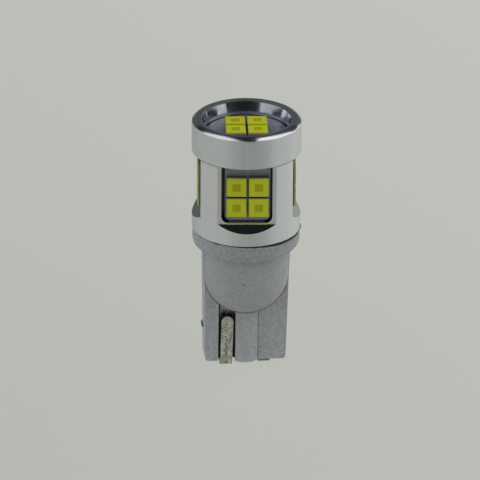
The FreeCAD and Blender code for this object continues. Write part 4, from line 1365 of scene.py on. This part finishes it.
@dataclass(frozen=True)
class Studio:
    """Pale floor, soft light and the camera at the photograph's angle.

    Attributes:
        azimuth: turn of the camera about the bulb, from the front to the right.
        elevation: height of the camera as an angle.
        roll: turn of the camera about its own axis.
        distance: distance of the camera from what it looks at.
        across: place of what it looks at, to the right of the axis.
        level: level of what it looks at.
        floor_lean: change of the floor's glow for each metre to the right and backwards.
        floor_even: distance behind the bulb where the glow is even.
        floor_most: largest change of the glow.
    """

    azimuth: float = math.radians(-7.349)
    elevation: float = math.radians(24.395)
    roll: float = math.radians(0.89)
    distance: float = 639.4 * MM
    across: float = -0.631 * MM
    level: float = 14.515 * MM
    lens: float = 435.4
    sensor: float = 36.0
    clip: Range = (0.01, 50.0)
    floor_size: float = 6.0
    floor_paper: tuple[Colour, Colour] = ((0.028, 0.029, 0.027), (0.030, 0.031, 0.029))
    floor_grain: Noise = Noise(0.02, 2.0, 1.0)
    floor_light: Colour = (0.498, 0.515, 0.473)
    floor_glow: float = 0.955
    floor_lean: Range = (0.9, 0.45)
    floor_even: float = 0.025
    floor_most: float = 0.08
    sky: Colour = (0.9, 0.95, 1.0)
    sky_strength: float = 0.015
    panels: tuple[Panel, ...] = (
        Panel("left_softbox", (-0.60, -0.65, 0.20), (-0.60, 0.28, 0.20), (-0.105, -0.65, 0.55), 0.95, (1, 1, 0.99)),
        Panel("right_softbox", (0.66, -0.46, 0.20), (0.66, 0.22, 0.20), (0.100, -0.46, 0.55), 1.14, (1, 1, 0.99)),
        Panel("left_side_card", (-0.60, -0.62, 0.0), (-0.60, 0.05, 0.0), (-0.60, -0.62, 0.20), 0.41),
        Panel("right_side_card", (0.66, 0.05, 0.0), (0.66, -0.62, 0.0), (0.66, 0.05, 0.20), 0.55),
        Panel("right_back_card", (0.55, 0.62, 0.0), (0.66, 0.06, 0.0), (0.55, 0.62, 0.35), 1.33),
        Panel("left_back_card", (-0.62, 0.06, 0.0), (-0.55, 0.55, 0.0), (-0.62, 0.06, 0.30), 0.55),
        Panel("rear_side_card", (0.30, 1.15, 0.0), (1.10, 1.15, 0.0), (0.30, 1.15, 0.14), 0.27),
        Panel("rear_band", (-0.90, 1.20, 0.0), (0.90, 1.20, 0.0), (-0.90, 1.20, 0.22), 0.115),
        Panel("rear_card", (-0.90, 1.20, 0.22), (0.90, 1.20, 0.22), (-0.90, 1.20, 0.80), 0.08),
    )

    def aim_camera(self) -> None:
        """Place the camera and make it the scene's own."""
        sin_a, cos_a = math.sin(self.azimuth), math.cos(self.azimuth)
        sin_e, cos_e = math.sin(self.elevation), math.cos(self.elevation)
        back = Vector((sin_a * cos_e, -cos_a * cos_e, sin_e))
        level_right = Vector((cos_a, sin_a, 0.0))
        level_up = back.cross(level_right)
        right = math.cos(self.roll) * level_right + math.sin(self.roll) * level_up
        target = level_right * self.across + Vector((0.0, 0.0, self.level))
        matrix = Matrix((right, back.cross(right), back)).transposed().to_4x4()
        matrix.translation = target + back * self.distance
        data = bpy.data.cameras.new("camera")
        data.lens = self.lens
        data.sensor_width = self.sensor
        data.clip_start, data.clip_end = self.clip
        camera = add_object("camera", data)
        camera.matrix_world = matrix
        bpy.context.scene.camera = camera

    def lay_floor(self) -> None:
        """Lay a pale plain floor that glows a little, as paper in a light tent does."""
        half = self.floor_size / 2
        mesh = bpy.data.meshes.new("floor")
        mesh.from_pydata([(-half, -half, 0), (half, -half, 0), (half, half, 0), (-half, half, 0)], [],
                         [(0, 1, 2, 3)])
        graph = Graph("floor_paper")
        across, deep, _ = graph.parts
        lean = graph.plus(graph.times(across, self.floor_lean[0]),
                          graph.times(graph.minus(deep, self.floor_even), self.floor_lean[1]))
        lean = graph.math("MINIMUM", graph.most(lean, -self.floor_most), self.floor_most)
        graph.set("Base Color", graph.mix(graph.noise(self.floor_grain), *self.floor_paper))
        graph.set("Roughness", 0.9)
        graph.set("Specular IOR Level", 0.1)
        graph.set("Emission Color", self.floor_light)
        graph.set("Emission Strength", graph.times(graph.plus(lean, 1.0), self.floor_glow))
        mesh.materials.append(graph.material)
        add_object("floor", mesh)

    def light(self) -> None:
        """Hang softboxes like the sides of a tent, open along the top, and dim cards around the bulb."""
        world = bpy.data.worlds.new("surroundings")
        world.use_nodes = True
        background = world.node_tree.nodes["Background"]
        background.inputs["Color"].default_value = (*self.sky, 1.0)
        background.inputs["Strength"].default_value = self.sky_strength
        bpy.context.scene.world = world
        for panel in self.panels:
            panel.hang()

    def set_up(self) -> None:
        """Set up the whole studio."""
        self.aim_camera()
        self.lay_floor()
        self.light()
        view = bpy.context.scene.view_settings
        view.view_transform = "Standard"
        view.look = "None"
        view.exposure = 0.0
        view.gamma = 1.0


def main() -> None:
    """Build the scene in order."""
    Studio().set_up()
    base = Base()
    base.dress()
    base.lay_glue()
    head = Head()
    head.dress()
    head.lay_lip()
    head.lay_diodes()
    Driver().dress()
    log.info("boxes written")


if __name__ == "__main__":
    main()
